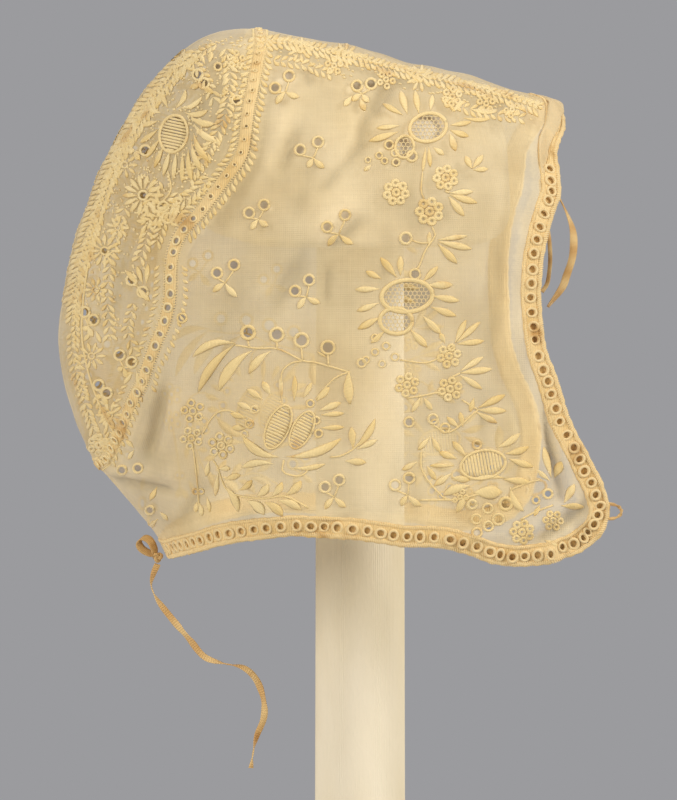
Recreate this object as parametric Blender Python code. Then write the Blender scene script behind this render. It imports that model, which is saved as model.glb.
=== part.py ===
# An infant's muslin cap with pierced edgings, set on its plain padded post.
# Metres, +Z up. The face opening looks along -Y and the wearer's right side is -X.
# The origin is the middle of the foot's underside.
import math

import bmesh
import bpy
import numpy as np
from mathutils import Vector, geometry

# Cap
CAP_DEPTH = 0.158  # front of the opening to the back of the head
CAP_HEIGHT = 0.156  # neck edge to the top
CAP_HALF_WIDTH = 0.054
NECK_HEIGHT = 0.150  # neck edge above the table
CENTRE_RISE = 0.409  # share of CAP_HEIGHT from the neck edge up to the side's middle
FULLNESS = 3.0  # 2 is an ellipse, more is boxier
WALL = 0.001
FOLD_DEPTH = 0.003
SEAM_GAP = 0.0003
PANEL_MESH = 0.0088  # edge of a panel's facets
RIM_MESH = 0.0055  # the same along a seam
CHART_SPREAD = 1.4  # the chart's mean scale against the side view
CHART_REACH = 0.9
RIM_SHARE = 0.6  # share of the spacing kept free beside a rim

# Trims
EDGING_WIDTH = 0.0058
INSERTION_WIDTH = 0.0034
EYELET_PITCH = 0.0044
EYELET_BORE = 0.0024
EYELET_SIDES = 6
EYELET_STEP = 0.001  # either way along the edge, to read its heading
CORNER_GAP = 0.0006
LOOP_REACH = 0.0029
LOOP_SPAN = 0.0041
LOOP_THREAD = 0.0007
LOOP_PLACE = 1.5  # eyelets up from the lower corner

# Ties
NAPE_KNOT = 0.0034
NAPE_LOOP_LENGTH = 0.0062
NAPE_LOOP_WIDTH = 0.0036
NAPE_LOOP_THICK = 0.0008
NAPE_LOOP_LEAN = 47  # degrees above level
NAPE_LOOP_TURN = 17  # degrees that its flat side turns from the middle plane
TIE_THICK = 0.0012
THIN_TIE_THICK = 0.0008

# Stand
POST_DIAMETER = 0.0252
POST_SPREAD = 0.0006  # the post is this much wider at its foot
FOOT_DIAMETER = 0.110
FOOT_THICK = 0.012
FOOT_BEVEL = 0.002
PAD_GAP = 0.0009
PAD_DROP = 0.062  # top of the cap down to the pad's underside
PAD_FRONT = 0.040  # pad's ends, from the post's axis
PAD_BACK = 0.046
PAD_END_POWER = 6  # roundness of the pad's ends
PAD_END_SHARE = 0.55  # an end's size as a share of the middle
PAD_HEART = 0.45  # share of PAD_DROP up to the point that the ends shrink to
PAD_STATIONS = 15
PAD_STEPS = 17
RIDGE_PASSES = 30

# The cap's outline from the side: shares of CAP_DEPTH forward and of CAP_HEIGHT up,
# from the middle of the side. The last nine rows lie beyond the cut edges.
OUTLINE = (
    (0.347, 0.407), (0.258, 0.437), (0.166, 0.461), (0.074, 0.483), (-0.018, 0.508),
    (-0.111, 0.527), (-0.190, 0.540), (-0.262, 0.533), (-0.318, 0.506), (-0.369, 0.455),
    (-0.424, 0.378), (-0.476, 0.282), (-0.508, 0.195), (-0.533, 0.115), (-0.547, 0.040),
    (-0.550, -0.015), (-0.548, -0.074), (-0.538, -0.130), (-0.520, -0.190), (-0.498, -0.243),
    (-0.457, -0.297), (-0.409, -0.352), (-0.372, -0.398), (-0.350, -0.446), (-0.330, -0.520),
    (-0.204, -0.669), (0.000, -0.800), (0.260, -0.800), (0.742, -0.660), (0.700, -0.242),
    (0.560, 0.000), (0.520, 0.180), (0.430, 0.340),
)

# The cut edge, from the front of the ridge down to the corner and back along the neck.
# Columns: right side forward, right side up, left side forward, left side up.
FRONT_EDGE = (
    (0.347, 0.407, 0.347, 0.407),
    (0.360, 0.384, 0.360, 0.384),
    (0.353, 0.350, 0.353, 0.350),
    (0.335, 0.315, 0.338, 0.315),
    (0.335, 0.272, 0.336, 0.272),
    (0.334, 0.235, 0.334, 0.235),
    (0.318, 0.193, 0.322, 0.193),
    (0.302, 0.140, 0.314, 0.140),
    (0.294, 0.080, 0.312, 0.080),
    (0.295, 0.020, 0.315, 0.020),
    (0.302, -0.040, 0.321, -0.050),
    (0.323, -0.097, 0.338, -0.108),
    (0.346, -0.170, 0.366, -0.170),
    (0.377, -0.230, 0.378, -0.228),
    (0.405, -0.285, 0.375, -0.285),
    (0.418, -0.330, 0.367, -0.330),
    (0.411, -0.365, 0.352, -0.366),
    (0.388, -0.396, 0.325, -0.394),
)
NECK_EDGE = (
    (0.345, -0.420, 0.290, -0.410),
    (0.280, -0.435, 0.248, -0.418),
    (0.214, -0.432, 0.203, -0.416),
    (0.156, -0.412, 0.156, -0.408),
    (0.105, -0.400, 0.105, -0.400),
    (0.045, -0.398, 0.045, -0.396),
    (-0.032, -0.386, -0.032, -0.386),
    (-0.106, -0.381, -0.106, -0.381),
    (-0.173, -0.381, -0.173, -0.383),
    (-0.259, -0.396, -0.259, -0.398),
    (-0.308, -0.415, -0.308, -0.415),
    (-0.339, -0.430, -0.339, -0.430),
    (-0.353, -0.440, -0.353, -0.440),
)
EDGE = FRONT_EDGE + NECK_EDGE

# The crown seam, from the ridge down the side to the nape: forward, up.
SEAM = (
    (-0.183, 0.540), (-0.195, 0.508), (-0.213, 0.444), (-0.226, 0.390), (-0.240, 0.311),
    (-0.275, 0.260), (-0.313, 0.208), (-0.348, 0.168), (-0.364, 0.122), (-0.366, 0.060),
    (-0.376, 0.010), (-0.396, -0.041), (-0.415, -0.100), (-0.433, -0.140), (-0.449, -0.185),
    (-0.462, -0.222), (-0.474, -0.250), (-0.485, -0.268),
)

# Folds and dents. Columns: side (-1 right, 1 left, 0 both), forward, up, run in degrees from
# forward, length, width (shares of CAP_HEIGHT), depth (share of FOLD_DEPTH, outward above 0).
FOLDS = (
    (0, 0.345, 0.372, 80, 0.060, 0.030, 0.9),
    (-1, 0.312, 0.325, 82, 0.055, 0.020, -0.9),
    (-1, 0.285, 0.385, 160, 0.060, 0.022, -0.5),
    (-1, 0.010, 0.360, 62, 0.130, 0.030, -0.35),
    (-1, 0.060, 0.330, 62, 0.130, 0.030, 0.30),
    (-1, -0.385, -0.205, 108, 0.100, 0.025, -0.7),
    (-1, -0.350, -0.215, 108, 0.090, 0.022, 0.5),
    (-1, -0.395, -0.292, 172, 0.060, 0.016, -0.6),
    (-1, 0.330, -0.235, 100, 0.120, 0.022, -0.6),
    (-1, 0.200, -0.340, 95, 0.080, 0.030, 0.5),
    (1, -0.360, -0.230, 105, 0.100, 0.026, -0.7),
    (1, 0.280, 0.150, 95, 0.120, 0.030, 0.6),
    (1, 0.150, -0.300, 88, 0.120, 0.032, -0.6),
    (0, -0.280, -0.330, 70, 0.070, 0.020, 0.6),
    (0, -0.320, -0.345, 70, 0.070, 0.016, -0.5),
)

# Routes of the free ties, in millimetres: x, y, z. Each hangs from its first point, which lies
# on a cap of this half width, depth, neck height and height, and moves with it.
ROUTE_CAP = (54.0, 158.0, 150.0, 156.0)
NAPE_TIE_ROUTE = (
    (0.0, 58.9, 143.3), (0.3, 60.2, 140.2), (0.6, 60.7, 136.8), (0.5, 59.0, 132.9),
    (0.0, 54.0, 126.4), (-0.5, 49.6, 121.2), (-0.6, 45.3, 116.2), (-0.3, 39.5, 114.2),
    (0.2, 33.8, 112.8), (0.6, 30.1, 109.1), (0.6, 28.1, 103.3), (0.2, 28.1, 98.1),
    (-0.2, 30.1, 93.2), (-0.4, 31.2, 88.6), (-0.5, 31.9, 83.7),
)
FRONT_LONG_ROUTE = (
    (-39.4, -49.9, 254.0), (-39.5, -51.1, 252.0), (-40.0, -52.7, 249.7), (-41.4, -54.9, 244.9),
    (-42.5, -56.2, 240.7), (-43.1, -56.4, 236.5), (-43.4, -55.9, 232.5), (-43.5, -54.4, 228.0),
    (-43.5, -53.0, 224.3), (-43.2, -49.0, 218.9),
)
FRONT_THIN_ROUTE = (
    (-39.7, -47.4, 254.9), (-40.6, -47.4, 251.3), (-41.6, -47.6, 247.6), (-42.3, -48.3, 244.0),
    (-42.9, -49.1, 240.7), (-43.4, -49.5, 236.5), (-43.8, -49.6, 232.5), (-44.0, -49.3, 228.9),
    (-44.0, -48.7, 225.5), (-43.9, -47.2, 223.2),
)
MILLIMETRE = 0.001


# Side outline and surface


def outline_table():
    """Angles, reaches and slopes of OUTLINE as one closed curve."""
    rows = sorted((math.atan2(up, fwd), math.hypot(fwd, up)) for fwd, up in OUTLINE)
    angles = np.array([row[0] for row in rows])
    reaches = np.tile([row[1] for row in rows], 3)
    turns = np.concatenate([angles - math.tau, angles, angles + math.tau])
    return turns, reaches, np.gradient(reaches, turns)


TURNS, REACHES, SLOPES = outline_table()


def reach(angle):
    """How far the outline lies from the middle of the side, in shares."""
    k = int(np.searchsorted(TURNS, angle)) - 1
    step = TURNS[k + 1] - TURNS[k]
    t = (angle - TURNS[k]) / step
    ends = (2 * t**3 - 3 * t**2 + 1) * REACHES[k] + (3 * t**2 - 2 * t**3) * REACHES[k + 1]
    bends = (t**3 - 2 * t**2 + t) * SLOPES[k] + (t**3 - t**2) * SLOPES[k + 1]
    return ends + step * bends


def to_chart(fwd, up, on_ridge=False):
    """A side-view place as a chart place, which spreads the surface near the ridge."""
    angle = math.atan2(up, fwd)
    limit = reach(angle)
    share = 1.0 if on_ridge else min(math.hypot(fwd, up) / limit, 0.9999)
    spread = 1.0 if on_ridge else 2 * math.sin(math.asin(share) / 3)
    return np.array((math.cos(angle), math.sin(angle))) * limit * spread


def fold(fwd, up, side):
    """How far the folds lift the cloth at a side-view place."""
    lift = 0.0
    for fold_side, at_fwd, at_up, run, length, width, depth in FOLDS:
        if fold_side and fold_side != side:
            continue
        turn = math.radians(run)
        along = (fwd - at_fwd) * math.cos(turn) + (up - at_up) * math.sin(turn)
        across = (up - at_up) * math.cos(turn) - (fwd - at_fwd) * math.sin(turn)
        lift += depth * math.exp(-((along / length) ** 4) - (across / width) ** 2)
    return lift * FOLD_DEPTH


def smooth_place(chart, side):
    """The unfolded surface at a chart place, with its side-view shares."""
    angle = math.atan2(chart[1], chart[0])
    limit = reach(angle)
    spread = min(math.hypot(*chart) / limit, 1.0)
    share = (3 * spread - spread**3) / 2
    fwd = math.cos(angle) * limit * share
    up = math.sin(angle) * limit * share
    bulge = math.sqrt(max(0.0, 1 - share**FULLNESS))
    middle = NECK_HEIGHT + CENTRE_RISE * CAP_HEIGHT
    at = np.array((side * CAP_HALF_WIDTH * bulge, -fwd * CAP_DEPTH, middle + up * CAP_HEIGHT))
    return at, fwd, up


def slopes(chart, side):
    """Two surface tangents per unit of chart, taken towards the side's middle."""
    step = 0.002
    inward = -np.sign(chart) * step
    inward[inward == 0] = step
    base = smooth_place(chart, side)[0]
    shift_f = smooth_place(chart + (inward[0], 0), side)[0]
    shift_u = smooth_place(chart + (0, inward[1]), side)[0]
    return (shift_f - base) / inward[0], (shift_u - base) / inward[1]


def place(chart, side, lift=0.0):
    """The folded surface at a chart place, lifted outwards."""
    at, fwd, up = smooth_place(chart, side)
    along_f, along_u = slopes(chart, side)
    out = np.cross(along_f, along_u) * -side
    out /= np.linalg.norm(out)
    if math.hypot(*chart) > 0.9995 * reach(math.atan2(chart[1], chart[0])):
        side = at[0] = out[0] = 0.0
        out /= np.linalg.norm(out)
    return at + out * (fold(fwd, up, side) + lift)


def frame_at(chart, heading, side):
    """Chart steps that are one metre along a heading and one metre square to it."""
    along_f, along_u = slopes(chart, side)
    run = along_f * heading[0] + along_u * heading[1]
    one = np.array(heading) / np.linalg.norm(run)
    pull = np.array((along_f @ run, along_u @ run))
    square = np.array((-pull[1], pull[0]))
    turned = along_f * square[0] + along_u * square[1]
    return one, square / np.linalg.norm(turned)


# Curves on the surface


def smooth_run(rows, side, steps=10):
    """A smooth chart curve through side-view rows whose ends lie on the ridge."""
    points = [to_chart(fwd, up, k in (0, len(rows) - 1)) for k, (fwd, up) in enumerate(rows)]
    ring = [2 * points[0] - points[1]] + points + [2 * points[-1] - points[-2]]
    run = []
    for k in range(1, len(ring) - 2):
        for t in np.arange(steps) / steps:
            bend = (ring[k + 1] - ring[k - 1]) * t
            bend = bend + (2 * ring[k - 1] - 5 * ring[k] + 4 * ring[k + 1] - ring[k + 2]) * t**2
            bend = bend + (3 * ring[k] - ring[k - 1] - 3 * ring[k + 1] + ring[k + 2]) * t**3
            run.append(ring[k] + bend / 2)
    run.append(ring[-2])
    return np.array(run)


def lengths_along(run, side):
    """Length from the start of a chart curve to each of its points."""
    places = np.array([smooth_place(chart, side)[0] for chart in run])
    steps = np.linalg.norm(np.diff(places, axis=0), axis=1)
    return np.concatenate([[0.0], np.cumsum(steps)])


def pick(run, lengths, at):
    """Chart places at given lengths along a curve."""
    fwd = np.interp(at, lengths, run[:, 0])
    up = np.interp(at, lengths, run[:, 1])
    return np.stack([fwd, up], axis=-1)


def shifted(run, lengths, at, side, offset):
    """Chart places at given lengths, moved to the curve's left, with ridge ends kept on it."""
    moved = []
    for length in at:
        ends = pick(run, lengths, np.clip([length - 0.001, length + 0.001], 0, lengths[-1]))
        chart = pick(run, lengths, length)
        square = frame_at(chart, ends[1] - ends[0], side)[1]
        after = chart + square * offset
        if length < 1e-9 or length > lengths[-1] - 1e-9:
            angle = math.atan2(after[1], after[0])
            after = np.array((math.cos(angle), math.sin(angle))) * reach(angle)
        moved.append(after)
    return np.array(moved)


def ridge_run(start, end, spacing):
    """Chart places along the ridge between two ridge places, ends left out."""
    first = math.atan2(start[1], start[0])
    last = math.atan2(end[1], end[0])
    if abs(last - first) > math.pi:
        last += math.copysign(math.tau, first - last)
    count = max(2, round(abs(last - first) * reach(first) * CAP_DEPTH / spacing))
    angles = first + (last - first) * np.arange(1, count) / count
    return np.array([(math.cos(a) * reach(a), math.sin(a) * reach(a)) for a in angles])


# Solids from regions of the surface


def inside(points, loop):
    """Which chart points lie inside a closed loop."""
    hits = np.zeros(len(points), bool)
    for a, b in zip(loop, np.roll(loop, -1, axis=0)):
        spans = (a[1] > points[:, 1]) != (b[1] > points[:, 1])
        rise = b[1] - a[1] if b[1] != a[1] else 1e-12
        cross = a[0] + (points[:, 1] - a[1]) / rise * (b[0] - a[0])
        hits ^= spans & (points[:, 0] < cross)
    return hits


def triangles_of(loop, holes, spacing):
    """Triangles of a chart region with holes, with inner points on a staggered grid."""
    pitch = spacing / CAP_DEPTH / CHART_SPREAD
    rows = np.arange(-CHART_REACH, CHART_REACH, pitch * math.cos(math.radians(30)))
    columns = np.arange(-CHART_REACH, CHART_REACH, pitch)
    grid = np.array([(f + (k % 2) * pitch / 2, u) for k, u in enumerate(rows) for f in columns])
    grid = grid[inside(grid, loop)]
    if len(grid):
        apart = np.linalg.norm(grid[:, None] - loop[None], axis=2).min(axis=1)
        grid = grid[apart > pitch * RIM_SHARE]
    for hole in holes:
        if len(grid):
            apart = np.linalg.norm(grid[:, None] - hole[None], axis=2).min(axis=1)
            grid = grid[(apart > pitch * RIM_SHARE) & ~inside(grid, hole)]
    points, edges = [], []
    for ring in [loop, *holes]:
        start = len(points)
        points += [Vector(p) for p in ring]
        edges += [(start + k, start + (k + 1) % len(ring)) for k in range(len(ring))]
    points += [Vector(p) for p in grid]
    cut = geometry.delaunay_2d_cdt(points, edges, [], 0, 1e-7)
    charts = np.array([tuple(v) for v in cut[0]])
    kept = []
    for face in cut[2]:
        centre = charts[list(face)].mean(axis=0)[None]
        if inside(centre, loop)[0] and not any(inside(centre, hole)[0] for hole in holes):
            kept.append(tuple(face))
    return charts, kept


def new_object(name, points, faces, colour, roughness):
    """One smooth-shaded object with its own material."""
    mesh = bpy.data.meshes.new(name)
    mesh.from_pydata([tuple(p) for p in points], [], faces)
    mesh.validate()
    mesh.shade_smooth()
    mesh.set_sharp_from_angle(angle=math.radians(40))
    ob = bpy.data.objects.new(name, mesh)
    bpy.context.scene.collection.objects.link(ob)
    finish(ob, name, colour, roughness)
    return ob


def finish(ob, name, colour, roughness):
    """A plain Principled material."""
    material = bpy.data.materials.new(name)
    material.use_nodes = True
    shader = material.node_tree.nodes["Principled BSDF"]
    shader.inputs["Base Color"].default_value = (*colour, 1.0)
    shader.inputs["Roughness"].default_value = roughness
    shader.inputs["Metallic"].default_value = 0.0
    ob.data.materials.append(material)


def cloth_solid(name, halves, spacing, colour):
    """A cloth wall over regions of both sides, joined along the ridge."""
    outer, inner, faces, known = [], [], [], {}
    for side, loop, holes in halves:
        charts, triangles = triangles_of(loop, holes, spacing)
        index = {}
        for k in sorted({corner for triangle in triangles for corner in triangle}):
            key = tuple(np.round(place(charts[k], side), 7))
            if key not in known:
                known[key] = len(outer)
                outer.append(place(charts[k], side, WALL / 2))
                inner.append(place(charts[k], side, -WALL / 2))
            index[k] = known[key]
        for a, b, c in triangles:
            order = (a, b, c) if side < 0 else (a, c, b)
            faces.append(tuple(index[k] for k in order))
    total = len(outer)
    rims = {}
    for a, b, c in faces:
        for edge in ((a, b), (b, c), (c, a)):
            rims[edge] = rims.get(edge, 0) + 1
    open_rims = [(a, b) for a, b in rims if (b, a) not in rims]
    walls = [(a, a + total, b) for a, b in open_rims]
    walls += [(a + total, b + total, b) for a, b in open_rims]
    backs = [(c + total, b + total, a + total) for a, b, c in faces]
    return new_object(name, outer + inner, faces + backs + walls, colour, 0.9)


def side_columns(side):
    """The EDGE rows of one side."""
    first = 0 if side < 0 else 2
    return [(row[first], row[first + 1]) for row in EDGE]


def corner_length(run, lengths):
    """The length along the cut edge at which its front ends and its neck begins."""
    row = len(FRONT_EDGE) - 1
    return lengths[row * (len(run) - 1) // (len(EDGE) - 1)]


def spaced(start, end, spacing):
    """Evenly spaced lengths with both ends."""
    return np.linspace(start, end, max(2, round((end - start) / spacing) + 1))


def panel_halves():
    """Loops of the head panel and the crown panel on each side."""
    head, crown = [], []
    for side in (-1, 1):
        edge = smooth_run(side_columns(side), side)
        edge_lengths = lengths_along(edge, side)
        seam = smooth_run(SEAM, side)
        seam_lengths = lengths_along(seam, side)
        along = spaced(0, edge_lengths[-1], RIM_MESH)
        inner = shifted(edge, edge_lengths, along, side, -EDGING_WIDTH - SEAM_GAP)
        down = spaced(0, seam_lengths[-1], RIM_MESH)
        reach_out = INSERTION_WIDTH / 2 + SEAM_GAP
        front = shifted(seam, seam_lengths, down, side, reach_out)
        back = shifted(seam, seam_lengths, down, side, -reach_out)
        nape = ridge_run(inner[-1], front[-1], PANEL_MESH)
        top = ridge_run(front[0], inner[0], PANEL_MESH)
        head.append((side, np.concatenate([inner, nape, front[::-1], top]), []))
        rear = ridge_run(back[-1], back[0], PANEL_MESH)
        crown.append((side, np.concatenate([back, rear]), []))
    return head, crown


def insertion_halves():
    """Loops of the strip between the panels."""
    halves = []
    for side in (-1, 1):
        seam = smooth_run(SEAM, side)
        seam_lengths = lengths_along(seam, side)
        down = spaced(0, seam_lengths[-1], RIM_MESH)
        half = INSERTION_WIDTH / 2
        front = shifted(seam, seam_lengths, down, side, half)
        back = shifted(seam, seam_lengths, down, side, -half)
        halves.append((side, np.concatenate([front, back[::-1]]), []))
    return halves


def eyelet(chart, heading, side):
    """A round bore as a chart loop."""
    one, square = frame_at(chart, heading, side)
    turns = np.arange(EYELET_SIDES) * math.tau / EYELET_SIDES
    return np.array([chart + (one * math.cos(t) + square * math.sin(t)) * EYELET_BORE / 2 for t in turns])


def edging_halves(front):
    """Loops of one edging, with its eyelets cut through."""
    halves = []
    for side in (-1, 1):
        run = smooth_run(side_columns(side), side)
        lengths = lengths_along(run, side)
        corner = corner_length(run, lengths)
        start, end = (0.0, corner - CORNER_GAP / 2) if front else (corner + CORNER_GAP / 2, lengths[-1])
        at = spaced(start, end, EYELET_PITCH)
        outer = pick(run, lengths, at)
        inner = shifted(run, lengths, at, side, -EDGING_WIDTH)
        middles = (at[1:] + at[:-1]) / 2
        centres = shifted(run, lengths, middles, side, -EDGING_WIDTH / 2)
        headings = pick(run, lengths, middles + EYELET_STEP) - pick(run, lengths, middles - EYELET_STEP)
        holes = [eyelet(c, h, side) for c, h in zip(centres, headings)]
        halves.append((side, np.concatenate([outer, inner[::-1]]), holes))
    return halves


# Ties and loops


def seated_route(route):
    """A tie's points in metres, moved as one with the place on the cap that it hangs from."""
    points = np.array(route) * MILLIMETRE
    half_width, depth, neck, height = np.array(ROUTE_CAP) * MILLIMETRE
    x, y, z = points[0]
    x *= CAP_HALF_WIDTH / half_width
    y *= CAP_DEPTH / depth
    z = NECK_HEIGHT + (z - neck) * CAP_HEIGHT / height
    return points + (x, y, z) - points[0]


def smooth_route(route, count):
    """Evenly read points of a smooth curve through a tie's route."""
    points = seated_route(route)
    ring = np.concatenate([[2 * points[0] - points[1]], points, [2 * points[-1] - points[-2]]])
    run = []
    for k in range(1, len(ring) - 2):
        for t in np.arange(12) / 12:
            bend = (ring[k + 1] - ring[k - 1]) * t
            bend = bend + (2 * ring[k - 1] - 5 * ring[k] + 4 * ring[k + 1] - ring[k + 2]) * t**2
            bend = bend + (3 * ring[k] - ring[k - 1] - 3 * ring[k + 1] + ring[k + 2]) * t**3
            run.append(ring[k] + bend / 2)
    run.append(points[-1])
    run = np.array(run)
    lengths = np.concatenate([[0], np.cumsum(np.linalg.norm(np.diff(run, axis=0), axis=1))])
    at = np.linspace(0, lengths[-1], count)
    return np.stack([np.interp(at, lengths, run[:, k]) for k in range(3)], axis=-1)


def cord(name, points, thick, colour, closed=False):
    """A round cord as a curve object with filled caps."""
    curve = bpy.data.curves.new(name, "CURVE")
    curve.dimensions = "3D"
    curve.bevel_depth = thick / 2
    curve.bevel_resolution = 2
    curve.use_fill_caps = not closed
    spline = curve.splines.new("POLY")
    spline.points.add(len(points) - 1)
    for k, point in enumerate(points):
        spline.points[k].co = (*point, 1.0)
    spline.use_cyclic_u = closed
    ob = bpy.data.objects.new(name, curve)
    bpy.context.scene.collection.objects.link(ob)
    finish(ob, name, colour, 0.6)
    return ob


def corner_loop(name, side, colour):
    """A thread loop that stands out of the front edge at the lower corner."""
    run = smooth_run(side_columns(side), side)
    lengths = lengths_along(run, side)
    corner = corner_length(run, lengths)
    middle = corner - EYELET_PITCH * LOOP_PLACE
    at = pick(run, lengths, [middle - LOOP_SPAN / 2, middle, middle + LOOP_SPAN / 2])
    start, centre, end = (place(chart, side) for chart in at)
    outward = frame_at(at[1], at[2] - at[0], side)[1] * LOOP_REACH
    away = place(at[1] + outward, side) - centre
    away /= np.linalg.norm(away)
    across = (end - start) / 2
    foot = (start + end) / 2 + away * SEAM_GAP
    turns = np.linspace(0, math.pi, 9)
    points = [foot - across * math.cos(t) + away * LOOP_REACH * math.sin(t) for t in turns]
    return cord(name, points, LOOP_THREAD, colour)


def nape_tie(colour):
    """The knot at the nape, the small loop beside it and the free end below."""
    foot = seated_route(NAPE_TIE_ROUTE)[0]
    knot = foot + (0, 0, NAPE_KNOT / 2 + SEAM_GAP)
    bpy.ops.mesh.primitive_uv_sphere_add(segments=12, ring_count=8, radius=NAPE_KNOT / 2, location=knot)
    ob = bpy.context.object
    ob.name = "nape_knot"
    finish(ob, "nape_knot", colour, 0.6)
    tilt = math.radians(NAPE_LOOP_LEAN)
    turn = math.radians(NAPE_LOOP_TURN)
    lean = np.array((0.0, math.cos(tilt), math.sin(tilt)))
    side = np.array((math.sin(turn), -lean[2] * math.cos(turn), lean[1] * math.cos(turn)))
    start = NAPE_KNOT / 2 + SEAM_GAP + NAPE_LOOP_THICK / 2
    centre = knot + lean * (start + NAPE_LOOP_LENGTH / 2)
    turns = np.arange(20) * math.tau / 20
    half_long = NAPE_LOOP_LENGTH / 2
    half_wide = NAPE_LOOP_WIDTH / 2
    ring = [centre + lean * math.cos(t) * half_long + side * math.sin(t) * half_wide for t in turns]
    cord("nape_loop", ring, NAPE_LOOP_THICK, colour, closed=True)
    cord("nape_tie", smooth_route(NAPE_TIE_ROUTE, 28), TIE_THICK, colour)


# Stand


def turned_solid(name, profile, sides, colour, roughness):
    """A solid turned about Z from (radius, height) pairs, bottom to top."""
    bm = bmesh.new()
    rings = []
    for radius, height in profile:
        turns = [k * math.tau / sides for k in range(sides)]
        rings.append([bm.verts.new((radius * math.cos(t), radius * math.sin(t), height)) for t in turns])
    for low, high in zip(rings, rings[1:]):
        for k in range(sides):
            bm.faces.new((low[k], low[(k + 1) % sides], high[(k + 1) % sides], high[k]))
    bm.faces.new(rings[0][::-1])
    bm.faces.new(rings[-1])
    mesh = bpy.data.meshes.new(name)
    bm.to_mesh(mesh)
    bm.free()
    mesh.shade_smooth()
    mesh.set_sharp_from_angle(angle=math.radians(40))
    ob = bpy.data.objects.new(name, mesh)
    bpy.context.scene.collection.objects.link(ob)
    finish(ob, name, colour, roughness)
    return ob


def pad_floor():
    """Height of the pad's underside."""
    return NECK_HEIGHT + (CENTRE_RISE + max(up for _, up in OUTLINE)) * CAP_HEIGHT - PAD_DROP


def stand_pad(colour):
    """A padded block under the top of the cap, following its inner face."""
    floor = pad_floor()
    middle = NECK_HEIGHT + CENTRE_RISE * CAP_HEIGHT
    tallest = max(up for _, up in OUTLINE)
    centre_y = (PAD_BACK - PAD_FRONT) / 2
    reach_y = (PAD_BACK + PAD_FRONT) / 2
    sections = []
    for k in range(PAD_STATIONS):
        turn = math.pi * k / (PAD_STATIONS - 1)
        y = centre_y - reach_y * math.cos(turn)
        ends = math.sqrt(1 - math.cos(turn) ** PAD_END_POWER)
        fwd = -y / CAP_DEPTH
        ridge_up = tallest
        for _ in range(RIDGE_PASSES):
            ridge_up = math.sqrt(max(reach(math.atan2(ridge_up, fwd)) ** 2 - fwd**2, 0.01))
        low_up = (floor - middle) / CAP_HEIGHT
        section = []
        for j in range(PAD_STEPS):
            s = 1 - abs(2 * j / (PAD_STEPS - 1) - 1)
            side = -1 if j < PAD_STEPS / 2 else 1
            up = low_up + (ridge_up - low_up) * (3 * s - s**3) / 2
            on_ridge = j == (PAD_STEPS - 1) // 2
            at = place(to_chart(fwd, up, on_ridge), side, -(WALL / 2 + PAD_GAP))
            at[1] = y
            heart = np.array((0.0, y, floor + PAD_DROP * PAD_HEART))
            at = heart + (at - heart) * (PAD_END_SHARE + (1 - PAD_END_SHARE) * ends)
            at[2] = max(at[2], floor)
            section.append(at)
        sections.append(section)
    points = [p for section in sections for p in section]
    faces = []
    for k in range(PAD_STATIONS - 1):
        for j in range(PAD_STEPS - 1):
            a = k * PAD_STEPS + j
            faces.append((a, a + 1, a + 1 + PAD_STEPS, a + PAD_STEPS))
        first = k * PAD_STEPS
        faces.append((first + PAD_STEPS - 1, first, first + PAD_STEPS, first + 2 * PAD_STEPS - 1))
    faces.append(tuple(range(PAD_STEPS))[::-1])
    last = (PAD_STATIONS - 1) * PAD_STEPS
    faces.append(tuple(range(last, last + PAD_STEPS)))
    ob = new_object("stand_pad", points, faces, colour, 0.9)
    bm = bmesh.new()
    bm.from_mesh(ob.data)
    bmesh.ops.recalc_face_normals(bm, faces=bm.faces)
    bmesh.ops.triangulate(bm, faces=bm.faces)
    bm.to_mesh(ob.data)
    bm.free()
    return ob


def stand(cloth, wood):
    """The foot and the covered post."""
    foot = FOOT_DIAMETER / 2
    rim = [(foot - FOOT_BEVEL, 0.0), (foot, FOOT_BEVEL), (foot, FOOT_THICK - FOOT_BEVEL)]
    rim.append((foot - FOOT_BEVEL, FOOT_THICK))
    turned_solid("stand_base", rim, 40, wood, 0.5)
    low = FOOT_THICK + SEAM_GAP
    high = pad_floor() - SEAM_GAP
    radius = POST_DIAMETER / 2
    turned_solid("stand_post", [(radius + POST_SPREAD, low), (radius, high)], 28, cloth, 0.9)


def build():
    """Every piece of the cap and its stand."""
    for ob in list(bpy.data.objects):
        bpy.data.objects.remove(ob, do_unlink=True)
    muslin = (0.70, 0.58, 0.36)
    trim = (0.76, 0.58, 0.30)
    ribbon = (0.62, 0.33, 0.09)
    linen = (0.83, 0.77, 0.64)
    wood = (0.80, 0.78, 0.72)
    head, crown = panel_halves()
    cloth_solid("head_panel", head, PANEL_MESH, muslin)
    cloth_solid("crown_panel", crown, PANEL_MESH, muslin)
    cloth_solid("crown_insertion", insertion_halves(), PANEL_MESH, trim)
    cloth_solid("front_edging", edging_halves(True), PANEL_MESH, trim)
    cloth_solid("neck_edging", edging_halves(False), PANEL_MESH, trim)
    corner_loop("corner_loop_right", -1, ribbon)
    corner_loop("corner_loop_left", 1, ribbon)
    nape_tie(ribbon)
    cord("front_tie_long", smooth_route(FRONT_LONG_ROUTE, 16), TIE_THICK, ribbon)
    cord("front_tie_short", smooth_route(FRONT_THIN_ROUTE, 16), THIN_TIE_THICK, ribbon)
    stand_pad(linen)
    stand(linen, wood)


build()
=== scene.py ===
import math

import bmesh
import bpy
import numpy as np
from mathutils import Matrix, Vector, geometry


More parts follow.
